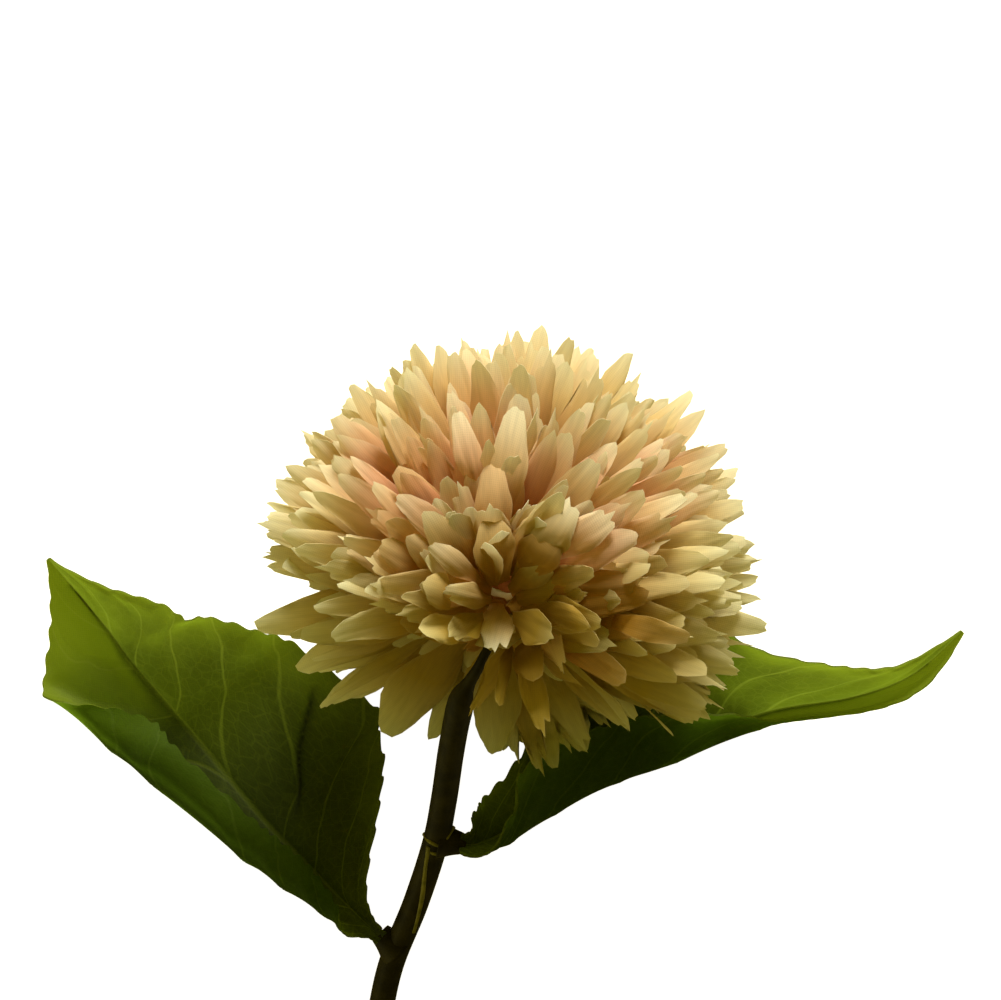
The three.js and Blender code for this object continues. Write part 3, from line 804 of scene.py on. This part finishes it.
for name, offset, shorter, stray, last in [
        ("petals_between", 0.5, 0.98, 2.5, 4), ("petals_inner", 0.25, 0.95, 3, 8)]:
    filling = [planned_petal(i + offset, shorter, stray) for i in range(3, PETALS - last)]
    petal_piece(name, [petal for petal in filling if not is_open(petal)])

# %% [markdown]
# ## Petals round the heart
# Round the heart short petals rise and lean out, by the golden angle again; painted shade darkens
# them most near the heart. On top of the others lie the free petals that catch the eye first, so each
# has its own root, tip, width and painted shade.

# %% Petals round the heart
HEART_PETALS = 18


def heart_petal(k):
    """A short petal that rises by the heart and leans out over it, away from a small gap."""
    turn = k * GOLDEN + 0.5 * chance(k, 41)
    around = np.array([math.cos(turn), math.sin(turn), 0])
    outer = (k + 0.5) / HEART_PETALS
    far, rise = mix(6, 22, outer), mix(19, 17, outer) * mix(0.85, 1.05, chance(k, 42))
    root = HEART + [4, -6, 7] + 1.2 * around
    tip = root + around * far + EYE * rise
    bend = root + 0.3 * around * far + 0.85 * rise * EYE
    # Painted shade is deepest on the petals nearest the heart.
    return {"curve": np.array([root, bend, tip]), "outwards": around, "seed": 1300 + k,
            "width": 0.9, "start": 0.2, "curl": 0.4, "deep": mix(1.3, 0.6, outer),
            "olive": max(0.5 * chance(k, 43), 0.95 * smooth_step(-tip[1], 4, 20))}


def hero_petal(k, root, tip, width, toothed, painted_shade_amount):
    """A petal that lies free on top of the others, from where it comes out to its tip."""
    root, tip = np.array(root, float), np.array(tip, float)
    arch = 9 if tip[1] > root[1] - 3 else 1
    bend = mix(root, tip, 0.4) + arch * EYE
    outwards = unit((tip - root) * [1, 1, 0.01])
    return {"curve": np.array([root, bend, tip]), "outwards": outwards, "seed": 1500 + k,
            "size": width, "point": 3.6, "toothed": 0.16 * toothed, "start": 0.0,
            "roll": 0.5 * (chance(k, 44) - 0.5), "colour_from": 0.6, "olive": 0.1, "curl": 0.6,
            "deep": painted_shade_amount}


# Root, tip, width, whether it has teeth, and how much painted shade it has.
HERO_PETALS = [
    [(-1, 14, 82), (2.1, 35.2, 84), 7.4, 0, 0], [(-5, 18, 82), (-9.3, 34.6, 84), 5.4, 0, 0],
    [(-2, 8, 84), (-3.3, 26.8, 86), 7.4, 0, 0.25], [(3, 5, 84), (11, 19, 91), 10.4, 1, 0],
    [(8, 4, 83), (25.2, 9, 88), 7.4, 0, 0.1], [(-4, 1, 82), (-15.5, 8.2, 90), 4.6, 0, 0.1],
    [(-3, -1, 82), (-12.6, -0.2, 89), 5.2, 1, 0.1], [(-2, -2, 78), (-3.3, -11.2, 84), 7.0, 1, 0.0],
    [(8, -7, 77), (21, -14, 80), 6.4, 0, 0.4], [(18, -5, 79), (35.6, -7.7, 81), 5.2, 0, 0.4],
    [(-28, 5, 56), (-48.8, 6.6, 52), 8.0, 1, 0], [(-28, 8, 58), (-50, 12.8, 53), 7.6, 1, 0],
    [(6, -7, 76), (11, -16, 80), 7.4, 1, 0.3], [(6, 6, 84), (19, 17, 90), 7.4, 1, 0],
    [(-8, 8, 82), (-22, 17, 87), 6.0, 0, 0.1], [(-8, 2, 80), (-25, 2, 85), 6.4, 0, 0.2],
    [(4, 0, 80), (24, 4, 86), 8.4, 0, 0.6], [(4, -3, 79), (27, -2, 84), 8.6, 0, 0.7],
    [(5, -5, 78), (26, -8, 82), 8.0, 1, 0.6], [(2, 3, 82), (9, 13, 90), 8.8, 0, 0.5],
    [(-1, 2, 82), (-4, 14, 89), 8.4, 0, 0.4], [(-3, 1, 81), (-15, 4, 87), 8.4, 0, 0.5],
    [(-4, -4, 79), (-18, -7, 83), 7.8, 1, 0.4], [(7, -7, 77), (22, -18, 79), 7.6, 0, 0.5],
]


petal_piece("petals_heart", [heart_petal(k) for k in range(HEART_PETALS)]
            + [hero_petal(k, *row) for k, row in enumerate(HERO_PETALS)])

# %% [markdown]
# ## Behind and below
# Behind the heart a collar of flat petals reaches down to the calyx. A few loose petals hang or stand
# out by themselves, each with its own tip and width, and one is pressed flat on the table: the flower
# rests on it.

# %% Behind and below
COLLAR_PETALS = 56
# Tip and width.
LOOSE_PETALS = [
    [-22.7, -30.4, 30, 1.35], [-0.4, -33, 26, 1], [2.9, -35, 25, 0.9], [-5.1, -26.6, 28, 1],
    [-50.2, -6.9, 50, 1], [-41.6, -16.1, 42, 1.1], [-37.8, -23.4, 36, 0.6], [39.6, 36, 46, 0.8],
    [-2.9, -11.1, 75, 1.1], [-4, -8.4, 80, 1], [37, -25.4, 36, 1.1],
]


def collar_petal(k):
    """A short petal pressed flat between the back of the heart and the calyx."""
    around = SIDE * math.cos(k * GOLDEN) + NEAR * math.sin(k * GOLDEN)
    reach = mix(17, 28, chance(k, 51))
    root, back = HEART - 4.9 * AXIS, mix(6, 9, chance(k, 52))
    curve = [root + 4.5 * around, root + 0.6 * reach * around, HEART - back * AXIS + reach * around]
    # Collar petals get a little painted shade.
    return {"curve": np.array(curve), "outwards": around, "seed": 1700 + k, "start": 0.0,
            "width": 0.9, "turned_away": 1.0, "roll": 0.4 * (chance(k, 53) - 0.5), "colour_from": 0.3,
            "olive": mix(0.3, 0.9, chance(k, 54)), "curl": 0.5, "deep": 0.2}


def loose_petal(k, tip, width):
    """A petal out of the heart that ends where it is told to."""
    root = HEART + AXIS
    outwards = np.array(tip) - HEAD
    outwards = unit(outwards - AXIS * np.dot(outwards, AXIS))
    return {"curve": petal_curve(root, np.array(tip, float)), "outwards": outwards,
            "seed": 1000 + k, "width": 1.25 * width, "roll": 0.0, "start": 0.3}


petal_piece("petals_collar", [collar_petal(k) for k in range(COLLAR_PETALS)])
resting = {"curve": np.array([HEART, [0, -24, -0.6], [0, 11, -0.6]]), "outwards": -NEAR,
           "seed": 1100, "width": 1.3}
petal_piece("petals_loose", [resting] + [
    loose_petal(k, row[:3], row[3]) for k, row in enumerate(LOOSE_PETALS)])

# %% [markdown]
# ## The core
# A ball of the same cloth, cut off flat at the back, closes the middle, so that no light falls
# through the bloom. It is turned round the bloom's axis, as on a lathe.


# %% The core
def round_axis(high, wide, turn):
    """Points round the bloom's axis, from how far along it, how far out and at what turn they are."""
    across, beyond = (wide * np.cos(turn))[..., None], (wide * np.sin(turn))[..., None]
    points = HEART + high[..., None] * AXIS + across * SIDE + beyond * np.cross(SIDE, AXIS)
    return points.reshape(-1, 3)


CORE_ROWS, CORE_COLUMNS = 40, 72
angle = np.linspace(0, math.pi, CORE_ROWS)[:, None]
turn = np.linspace(0, 2 * math.pi, CORE_COLUMNS, endpoint=False)[None, :]
radius = 18 + 0.8 * np.sin(12 * turn) * np.sin(9 * angle)
core_points = round_axis(np.maximum(radius * np.cos(angle), -4.4), radius * np.sin(angle), turn)
# The core takes the darkest root colour: painted shade in the hole at the middle of the bloom.
none = np.zeros(radius.size)
core_numbers = {"along": none, "flat": core_points, "blush": none + 0.2, "olive": none, "frayed_rim_and_highlight": none}
core = mesh_object("bloom_heart", core_points, grid_faces(CORE_ROWS, CORE_COLUMNS, closed=True),
                   core_numbers)
stands_for(core, "petal_cloth", petal_cloth, "bloom")

# %% [markdown]
# ## Leaf veins
# A leaf's middle rib sends side veins out at a slant, and a fine net lies between them. The printed
# cloth shows them paler than the green, and the stamping die presses them in. Each point of a leaf
# carries how far along and how far across it is, so the veins are drawn from those two numbers: a
# side vein is where a slanted count of them passes a whole number.

# %% Leaf veins
VEINS, SLANT = 9.5, 0.20
veins, came, leaves = group(
    "leaf veins",
    [("Along", "value", 0.0), ("Across", "value", 0.0), ("Place", "vector", None)],
    [("Vein", "value"), ("Net", "value"), ("Height", "value")],
)
sideways = calc(veins, "ABSOLUTE", came["Across"])
wobble = node(veins, "TexNoise", {"Vector": came["Place"], "Scale": 0.09, "Detail": 1.0})
slanted = calc(veins, "SUBTRACT", came["Along"], calc(veins, "MULTIPLY", sideways, SLANT))
slanted = calc(veins, "MULTIPLY_ADD", wobble.outputs[0], 0.05, slanted)
count = calc(veins, "MULTIPLY", slanted, VEINS)
miss = calc(veins, "ABSOLUTE", calc(veins, "SUBTRACT", count, calc(veins, "ROUND", count)))
side_vein = fade(veins, miss, 0.008, 0.040, 0.8, 0.0)
middle = fade(veins, sideways, 0.008, 0.030, 1.0, 0.0)
vein = calc(veins, "MAXIMUM", middle, calc(veins, "MULTIPLY", side_vein, 0.9))
cells = node(veins, "TexVoronoi", {"Vector": came["Place"], "Scale": 0.45}, feature="DISTANCE_TO_EDGE")
net = fade(veins, cells.outputs["Distance"], 0.01, 0.07, 1.0, 0.0)
fine = node(veins, "TexVoronoi", {"Vector": came["Place"], "Scale": 0.8}, feature="DISTANCE_TO_EDGE")
fine_net = fade(veins, fine.outputs["Distance"], 0.01, 0.12, 0.4, 0.0)
net = calc(veins, "MAXIMUM", net, fine_net)
veins.links.new(vein, leaves["Vein"])
veins.links.new(net, leaves["Net"])
pressed_in = calc(veins, "MULTIPLY_ADD", net, 0.35, vein)
veins.links.new(calc(veins, "SUBTRACT", 1.0, pressed_in), leaves["Height"])
print("group:", veins.name, [socket.name for socket in veins.interface.items_tree])

# %% [markdown]
# ## Leaf cloth
# Leaf cloth is dyed green, with random lighter and darker patches. It is painted lighter towards the
# rim and the tip and on a patch of the near half: that is painted light. The back is plainer and
# shines less. Both let some light through, and what comes through is brighter than what is thrown
# back, as on a real leaf with the sun behind it.


# %% Leaf cloth
def leaf_material(name, deep, painted_light, vein_colour, through, gloss):
    material, tree, surface = new_material(name, Roughness=0.65, Specular_IOR_Level=gloss)
    place = stored(tree, "flat", "Vector")
    drawn = place_group(tree, veins, {
        "Along": stored(tree, "leaf_along"), "Across": stored(tree, "leaf_across"), "Place": place})
    patches = node(tree, "TexNoise", {"Vector": place, "Scale": 0.07, "Detail": 3.0})
    # Painted light and random patches of tone choose between the dark and the light green.
    tone_and_painted_light = calc(tree, "MULTIPLY_ADD", patches.outputs[0], 0.7, stored(tree, "painted_light"))
    green = ramp(tree, fade(tree, tone_and_painted_light, 0.25, 1.25), [(0.0, deep), (1.0, painted_light)])
    green = blend(tree, calc(tree, "MULTIPLY", drawn["Net"], 0.12), green, vein_colour)
    green = blend(tree, calc(tree, "MULTIPLY", drawn["Vein"], 0.45), green, vein_colour)
    # Painted shade: the left leaf's crease is darkened nearly to black.
    green = blend(tree, stored(tree, "crease_with_painted_shade"), green, (0.004, 0.006, 0.001, 1))
    threads = place_group(tree, weave, {"Place": place, "Pitch": 0.3})
    shade = fade(tree, threads["Thread"], 0.0, 0.6, 0.86, 1.0)
    green = darken(tree, green, shade)
    tree.links.new(green, surface.inputs["Base Color"])
    relief = calc(tree, "MULTIPLY_ADD", threads["Height"], 0.25, drawn["Height"])
    bump(tree, surface, relief, 0.5, 0.15)
    glow = blend(tree, 1.0, green, through, "MULTIPLY")
    let_light_through(tree, surface, glow, 0.5)
    return material


# Each leaf cloth: its dark green, the green of its painted light, its veins, what comes through,
# gloss.
leaf_face = leaf_material("leaf cloth face", (0.038, 0.052, 0.003), (0.13, 0.175, 0.007),
                          (0.17, 0.21, 0.02, 1), (2.5, 2.7, 3.0, 1), 0.3)
leaf_back = leaf_material("leaf cloth back", (0.046, 0.082, 0.004), (0.09, 0.145, 0.007),
                          (0.13, 0.19, 0.03, 1), (2.3, 2.5, 1.5, 1), 0.08)
print("leaf materials:", leaf_face.name, "and", leaf_back.name)

# %% [markdown]
# ## A leaf's relief
# Stamped leaf cloth isn't flat: it swells a little between the veins, the rib lies in a groove and
# the rim waves. The left leaf also has one deep crease, where it was folded in its box; its colour is
# darkened there with painted shade.


# %% A leaf's relief
def leaf_relief(u, out, width, side):
    """How high the cloth stands: it swells between the veins, dips at the rib and waves at the rim."""
    count = (u - SLANT * out) * VEINS
    swell = np.abs(np.sin(math.pi * count)) ** 0.7 * smooth_step(out, 0.03, 0.3)
    swell = swell * (1 - 0.7 * smooth_step(out, 0.7, 1))
    groove = -0.35 * np.exp(-((out * width / 0.9) ** 2))
    ripple = 0.5 * np.sin(23 * u + 3 * side) * smooth_step(out, 0.75, 1)
    return (0.5 * swell + ripple) * np.minimum(1, width / 12) + groove


def leaf_crease(points, start, end, reach):
    """How deep each point lies in a crease that runs from one place to another."""
    share = np.clip((points[..., 1] - start[1]) / (end[1] - start[1]), 0, 1)
    aside = points[..., 0] - mix(start[0], end[0], share) - 0.6 * np.sin(9 * share)
    ends = smooth_step(share, 0, 0.25) * (1 - smooth_step(share, 0.8, 1))
    return np.exp(-((aside / reach) ** 2)) * ends


test_u = np.linspace(0, 1, 50)
print("a leaf's relief reaches", round(leaf_relief(test_u, 0.5, 20, 1).max(), 2), "mm")

# %% [markdown]
# ## The leaves
# Each leaf is one fine grid of its plan. The rim gets forward-pointing teeth, which fold the grid's
# edge in and out. The modifier that gives thickness also puts the duller back material on the
# underside. One more row at each base takes the cloth up over the stub that carries it.

# %% The leaves
LEAF_ROWS, LEAF_COLUMNS, TEETH, LEAF_THICKNESS = 241, 73, 30, 0.35


def leaf_piece(name, rows, crease_with_painted_shade=None):
    """One leaf as a sheet: its plan, its teeth and its relief, with the numbers its cloth reads."""
    u = np.linspace(0, 1, LEAF_ROWS)[:, None]
    w = np.linspace(-1, 1, LEAF_COLUMNS)[None, :]
    u, w = np.broadcast_arrays(u, w)
    widths = along(rows, u)
    width = np.where(w > 0, widths[..., 3], widths[..., 5])
    out = np.abs(w)
    saw = (u * TEETH + 0.2 * np.sin(5 * u + w)) % 1
    notch = 1 - smooth_step(saw, 0.0, 0.72) + smooth_step(saw, 0.8, 1)
    depth = np.minimum(0.8, 0.08 * width) * notch
    shrink = 1 - depth / np.maximum(width, 0.1) * smooth_step(out, 0.72, 1)
    points = leaf_points(rows, u, w * shrink)
    normal = unit(np.cross(np.gradient(points, axis=0), np.gradient(points, axis=1)))
    middle = normal[LEAF_ROWS // 2, LEAF_COLUMNS * 3 // 4]
    normal = normal * np.sign(middle[2])
    folded = leaf_crease(points, *crease_with_painted_shade) * (w > 0.02) if crease_with_painted_shade else np.zeros(u.shape)
    height = leaf_relief(u, out, width, np.sign(w)) - 1.3 * folded
    points = points + height[..., None] * normal
    points[..., 2] = np.maximum(points[..., 2], 0.6)
    rib = along(rows, np.linspace(0, 1, 60))[:, :3]
    length = np.linalg.norm(np.diff(rib, axis=0), axis=1).sum()
    # Painted light: lighter towards the rim and the tip, and strongly on a patch of the near half.
    painted_light = (0.35 * smooth_step(out, 0.55, 1.0) + 0.45 * smooth_step(u, 0.45, 1.0) * (w > -0.2)
             + 0.9 * smooth_step(u, 0.58, 0.72) * smooth_step(-w, 0.0, 0.12))
    # The crease carries painted shade as well as its fold.
    numbers = {
        "leaf_along": u.ravel(), "leaf_across": w.ravel(), "crease_with_painted_shade": (0.8 * folded).ravel(),
        "painted_light": painted_light.ravel(), "flat": np.stack([w * width, u * length, 0 * u], -1).reshape(-1, 3),
    }
    faces = grid_faces(LEAF_ROWS, LEAF_COLUMNS)
    if (normal * np.cross(np.gradient(points, axis=0), np.gradient(points, axis=1))).sum() > 0:
        faces = faces[:, ::-1]
    piece = mesh_object(name, points.reshape(-1, 3), faces, numbers)
    stands_for(piece, "leaf_cloth", leaf_face, name)
    piece.data.materials.append(leaf_back)
    give_thickness(piece, LEAF_THICKNESS).material_offset = 1
    print(name, "is", round(length), "mm along its rib")


LEFT_BASE = [-25.9, -72.4, 14.2, 1.6, 0, 1.8, 1, 4, 40]
RIGHT_BASE = [-9.6, -52.0, 26.6, 2.0, 0, 2.6, 0.2, 2, 110]
BOX_CREASE = ((-44.6, -50.0), (-40.6, -18.5), 0.7)
leaf_piece("leaf_left", [LEFT_BASE] + LEAF_LEFT, BOX_CREASE)
leaf_piece("leaf_right", [RIGHT_BASE] + LEAF_RIGHT)

# %% [markdown]
# ## Moulded plastic
# The stem, ribs and calyx come from a mould. Such plastic has a faint mottle in its colour and tiny
# pits, and dried glue looks much the same. One group makes the mottle and the pits for all four, and
# each material gives it its own colours. The cut end of the wire is bare steel with fine streaks.

# %% Moulded plastic
mottle, came, leaves = group(
    "moulded mottle",
    [("Dark", "colour", None), ("Light", "colour", None), ("Size", "value", 300.0)],
    [("Colour", "colour"), ("Height", "value")],
)
spot = node(mottle, "TexCoord").outputs["Object"]
broad = node(mottle, "TexNoise", {"Vector": spot, "Scale": came["Size"], "Detail": 4.0})
share = fade(mottle, broad.outputs[0], 0.3, 0.75)
mottle.links.new(blend(mottle, share, came["Dark"], came["Light"]), leaves["Colour"])
finer = calc(mottle, "MULTIPLY", came["Size"], 6.0)
pits = node(mottle, "TexNoise", {"Vector": spot, "Scale": finer, "Detail": 2.0})
rough = calc(mottle, "MULTIPLY_ADD", broad.outputs[0], 0.5, pits.outputs[0])
mottle.links.new(rough, leaves["Height"])


def plastic(name, dark, light, size, roughness, relief):
    material, tree, surface = new_material(name, Roughness=roughness, Specular_IOR_Level=0.12)
    made = place_group(tree, mottle, {"Dark": (*dark, 1), "Light": (*light, 1), "Size": size})
    tree.links.new(made["Colour"], surface.inputs["Base Color"])
    bump(tree, surface, made["Height"], 0.35, relief)
    return material


stem_plastic = plastic("stem plastic", (0.012, 0.009, 0.0008), (0.032, 0.025, 0.003), 250.0, 0.6, 0.15)
rib_plastic = plastic("rib plastic", (0.10, 0.13, 0.02), (0.20, 0.23, 0.05), 200.0, 0.5, 0.1)
calyx_plastic = plastic("calyx plastic", (0.02, 0.04, 0.006), (0.05, 0.09, 0.015), 250.0, 0.5, 0.15)
glue = plastic("dried glue", (0.13, 0.12, 0.015), (0.24, 0.21, 0.04), 500.0, 0.35, 0.05)
steel, tree, surface = new_material("cut steel wire", Metallic=1.0, Roughness=0.38)
lines = node(tree, "TexNoise", {"Vector": node(tree, "TexCoord").outputs["Object"], "Scale": 900.0})
tree.links.new(ramp(tree, lines.outputs[0], [(0.3, (0.30, 0.29, 0.27)), (0.7, (0.55, 0.54, 0.52))]),
               surface.inputs["Base Color"])
print("plastics:", stem_plastic.name, rib_plastic.name, calyx_plastic.name, glue.name)

# %% [markdown]
# ## Stem and wire
# The stem is one bent tube: a thin neck out of the calyx, a collar, and the long stalk. The mould
# leaves two fine seams along it and a few shallow ridges. At the cut end the plastic is open and the
# steel wire shows. The two stubs that carry the leaves flare out where they meet the stalk.

# %% Stem and wire
STEM = [
    [-2.85, -7.9, 55.1, 0.95], [-3.3, -10.4, 56, 0.95], [-4.6, -12.9, 55.6, 0.95],
    [-5.8, -15.4, 54, 1.1], [-7.6, -18.4, 51.8, 1.4], [-8.9, -20.9, 49.8, 2.3],
    [-9.4, -23.1, 48, 2.75], [-10.3, -27.3, 44.6, 2.7], [-11.4, -33.5, 39.6, 2.7],
    [-12.8, -42.9, 32, 2.7], [-14.7, -52.3, 24.8, 2.7], [-18.8, -65.1, 16.4, 2.7],
    [-23.9, -78, 9.8, 2.7], [-26.6, -90, 5.6, 2.7], [-30, -108, 3.1, 2.7],
    [-34.5, -140, 2.75, 2.7], [-38, -170, 2.75, 2.7], [-40, -200, 2.75, 2.7],
]
STUB_LEFT = [[-22.6, -75.4, 11], [-24.6, -73.2, 11.5], [-26.2, -71.6, 11.6]]
STUB_RIGHT = [[-14.2, -51.4, 25.2], [-11.4, -51.8, 24.8], [-9.4, -52.2, 23.8]]
STUB_RADII = [4.0, 2.9, 2.3]
STEM_STEPS, STEM_SIDES, STALK, BORE, WIRE = 260, 48, 2.7, 1.25, 1.0

rings = tube(STEM, STEM_STEPS, STEM_SIDES)[0].reshape(STEM_STEPS + 1, STEM_SIDES, 3)
centres = rings.mean(axis=1, keepdims=True)
turn = np.linspace(0, 2 * math.pi, STEM_SIDES, endpoint=False)[None, :, None]
far_along = np.linspace(0, 1, STEM_STEPS + 1)[:, None, None]
relief = 0.006 * np.sin(8 * turn + 9 * far_along) * smooth_step(far_along, 0.3, 0.4)
relief = relief - 0.012 + 0.012 * np.cos(turn) ** 40
rings = centres + (rings - centres) * (1 + relief)
end = rings[-1]
centre, forward = end.mean(axis=0), unit(centres[-1, 0] - centres[-2, 0])
lip = centre + (end - centre) * 0.97 + forward * 0.05
bore = centre + (end - centre) * (BORE / STALK)
rings = np.concatenate([rings, lip[None], bore[None], (bore - forward * 2)[None]])
shapes = [(rings.reshape(-1, 3), closed_tube_faces(len(rings), STEM_SIDES))]
for stub in (STUB_LEFT, STUB_RIGHT):
    shapes.append(tube([[*place, radius] for place, radius in zip(stub, STUB_RADII)], 16, 24))
stands_for(mesh_object("stem", *joined(shapes)), "stem_plastic", stem_plastic, "stem")
wire = tube([[x, y, z, WIRE] for x, y, z, _ in STEM[6:]], 90, 24)
stands_for(mesh_object("stem_wire", *wire), "wire_steel", steel, "stem_wire")

# %% [markdown]
# ## Ribs and calyx
# Under each leaf a thin plastic rib is glued, from the stub almost to the tip, so that the leaf keeps
# its bend. It starts just past the end of the stub and hangs a little below the cloth. The calyx is
# a small cup under the bloom, with five lobes along its rim.


# %% Ribs and calyx
def rib_piece(name, rows, stub):
    end, before = np.array(stub[-1], float), np.array(stub[-2], float)
    outwards = unit(end - before)
    line = [[*(end + outwards * far), 1.1] for far in (0.45, 2.05)]
    for u in (0.1, 0.2, 0.35, 0.5, 0.65, 0.8, 0.93):
        place = along(rows, u)[:3]
        run = unit(place - along(rows, u - 0.02)[:3])
        down = unit(-EYE + run * run[2])
        radius = mix(0.8, 0.4, u)
        line.append([*(place + down * (radius + 0.45)), radius])
    stands_for(mesh_object(name, *tube(line, 90, 20)), "rib_plastic", rib_plastic, name)


rib_piece("leaf_left_rib", LEAF_LEFT, STUB_LEFT)
rib_piece("leaf_right_rib", LEAF_RIGHT, STUB_RIGHT)

CUP_ROWS, CUP_COLUMNS, LOBES = 46, 90, 5
outline = [[0.6, -5.35], [6.4, -5.4], [7.5, -5.4], [7.3, -6.1], [5.6, -7.1],
           [4.4, -7.9], [3.2, -8.4], [2.4, -8.6], [1.25, -8.5], [1.25, -7.0]]
shape = along(outline, np.linspace(0, 1, CUP_ROWS))
wide, high = shape[:, :1], shape[:, 1:]
turn = np.linspace(0, 2 * math.pi, CUP_COLUMNS, endpoint=False)[None, :]
lobes = 1 - 0.16 * smooth_step(wide, 3.5, 7.4) * (0.5 - 0.5 * np.cos(LOBES * turn))
faces = closed_tube_faces(CUP_ROWS, CUP_COLUMNS)
calyx = mesh_object("calyx", round_axis(high, wide * lobes, turn), faces)
stands_for(calyx, "calyx_plastic", calyx_plastic, "calyx")

# %% [markdown]
# ## A strand of glue
# The right leaf was set with hot glue, which pulls out into threads. One thread lies round the joint
# in two loops and a tail runs down the stem. Each is a thin tube that follows the stem's surface.


# %% A strand of glue
GLUE_REACH = 2.95  # from the stem's middle to the strand's


def on_stem(x, y, sink):
    """A point on the upper side of the stem, or beside it, at a place seen from above."""
    middle = along(STEM, np.linspace(0.3, 1, 400))
    nearest = middle[np.argmin(np.abs(middle[:, 1] - y))]
    away = abs(x - nearest[0])
    high = math.sqrt(GLUE_REACH**2 - min(away, 2.9) ** 2)
    return [x, y, nearest[2] + high - sink]


STRANDS = [
    [(-16.8, -50.2, 2.2), (-15.6, -51.6, 0), (-13.4, -52.2, 0), (-11.9, -50.2, 0), (-10.9, -48.6, 1)],
    [(-16.5, -52.4, 2.2), (-15.2, -53.9, 0), (-13.6, -54, 0), (-12, -53, 0.4), (-10.4, -52.6, 1.6)],
    [(-15.9, -52.6, 0.2), (-16.6, -57, 0), (-17.3, -63, 0), (-18.4, -68, 0), (-19.3, -71, 0.1)],
]
threads = []
for path in STRANDS:
    rows = [[*on_stem(x, y, sink), 0.52 - 0.1 * (j % 2)] for j, (x, y, sink) in enumerate(path)]
    threads.append(tube(rows, 60, 12))
stands_for(mesh_object("glue_strand", *joined(threads)), "rib_plastic", glue)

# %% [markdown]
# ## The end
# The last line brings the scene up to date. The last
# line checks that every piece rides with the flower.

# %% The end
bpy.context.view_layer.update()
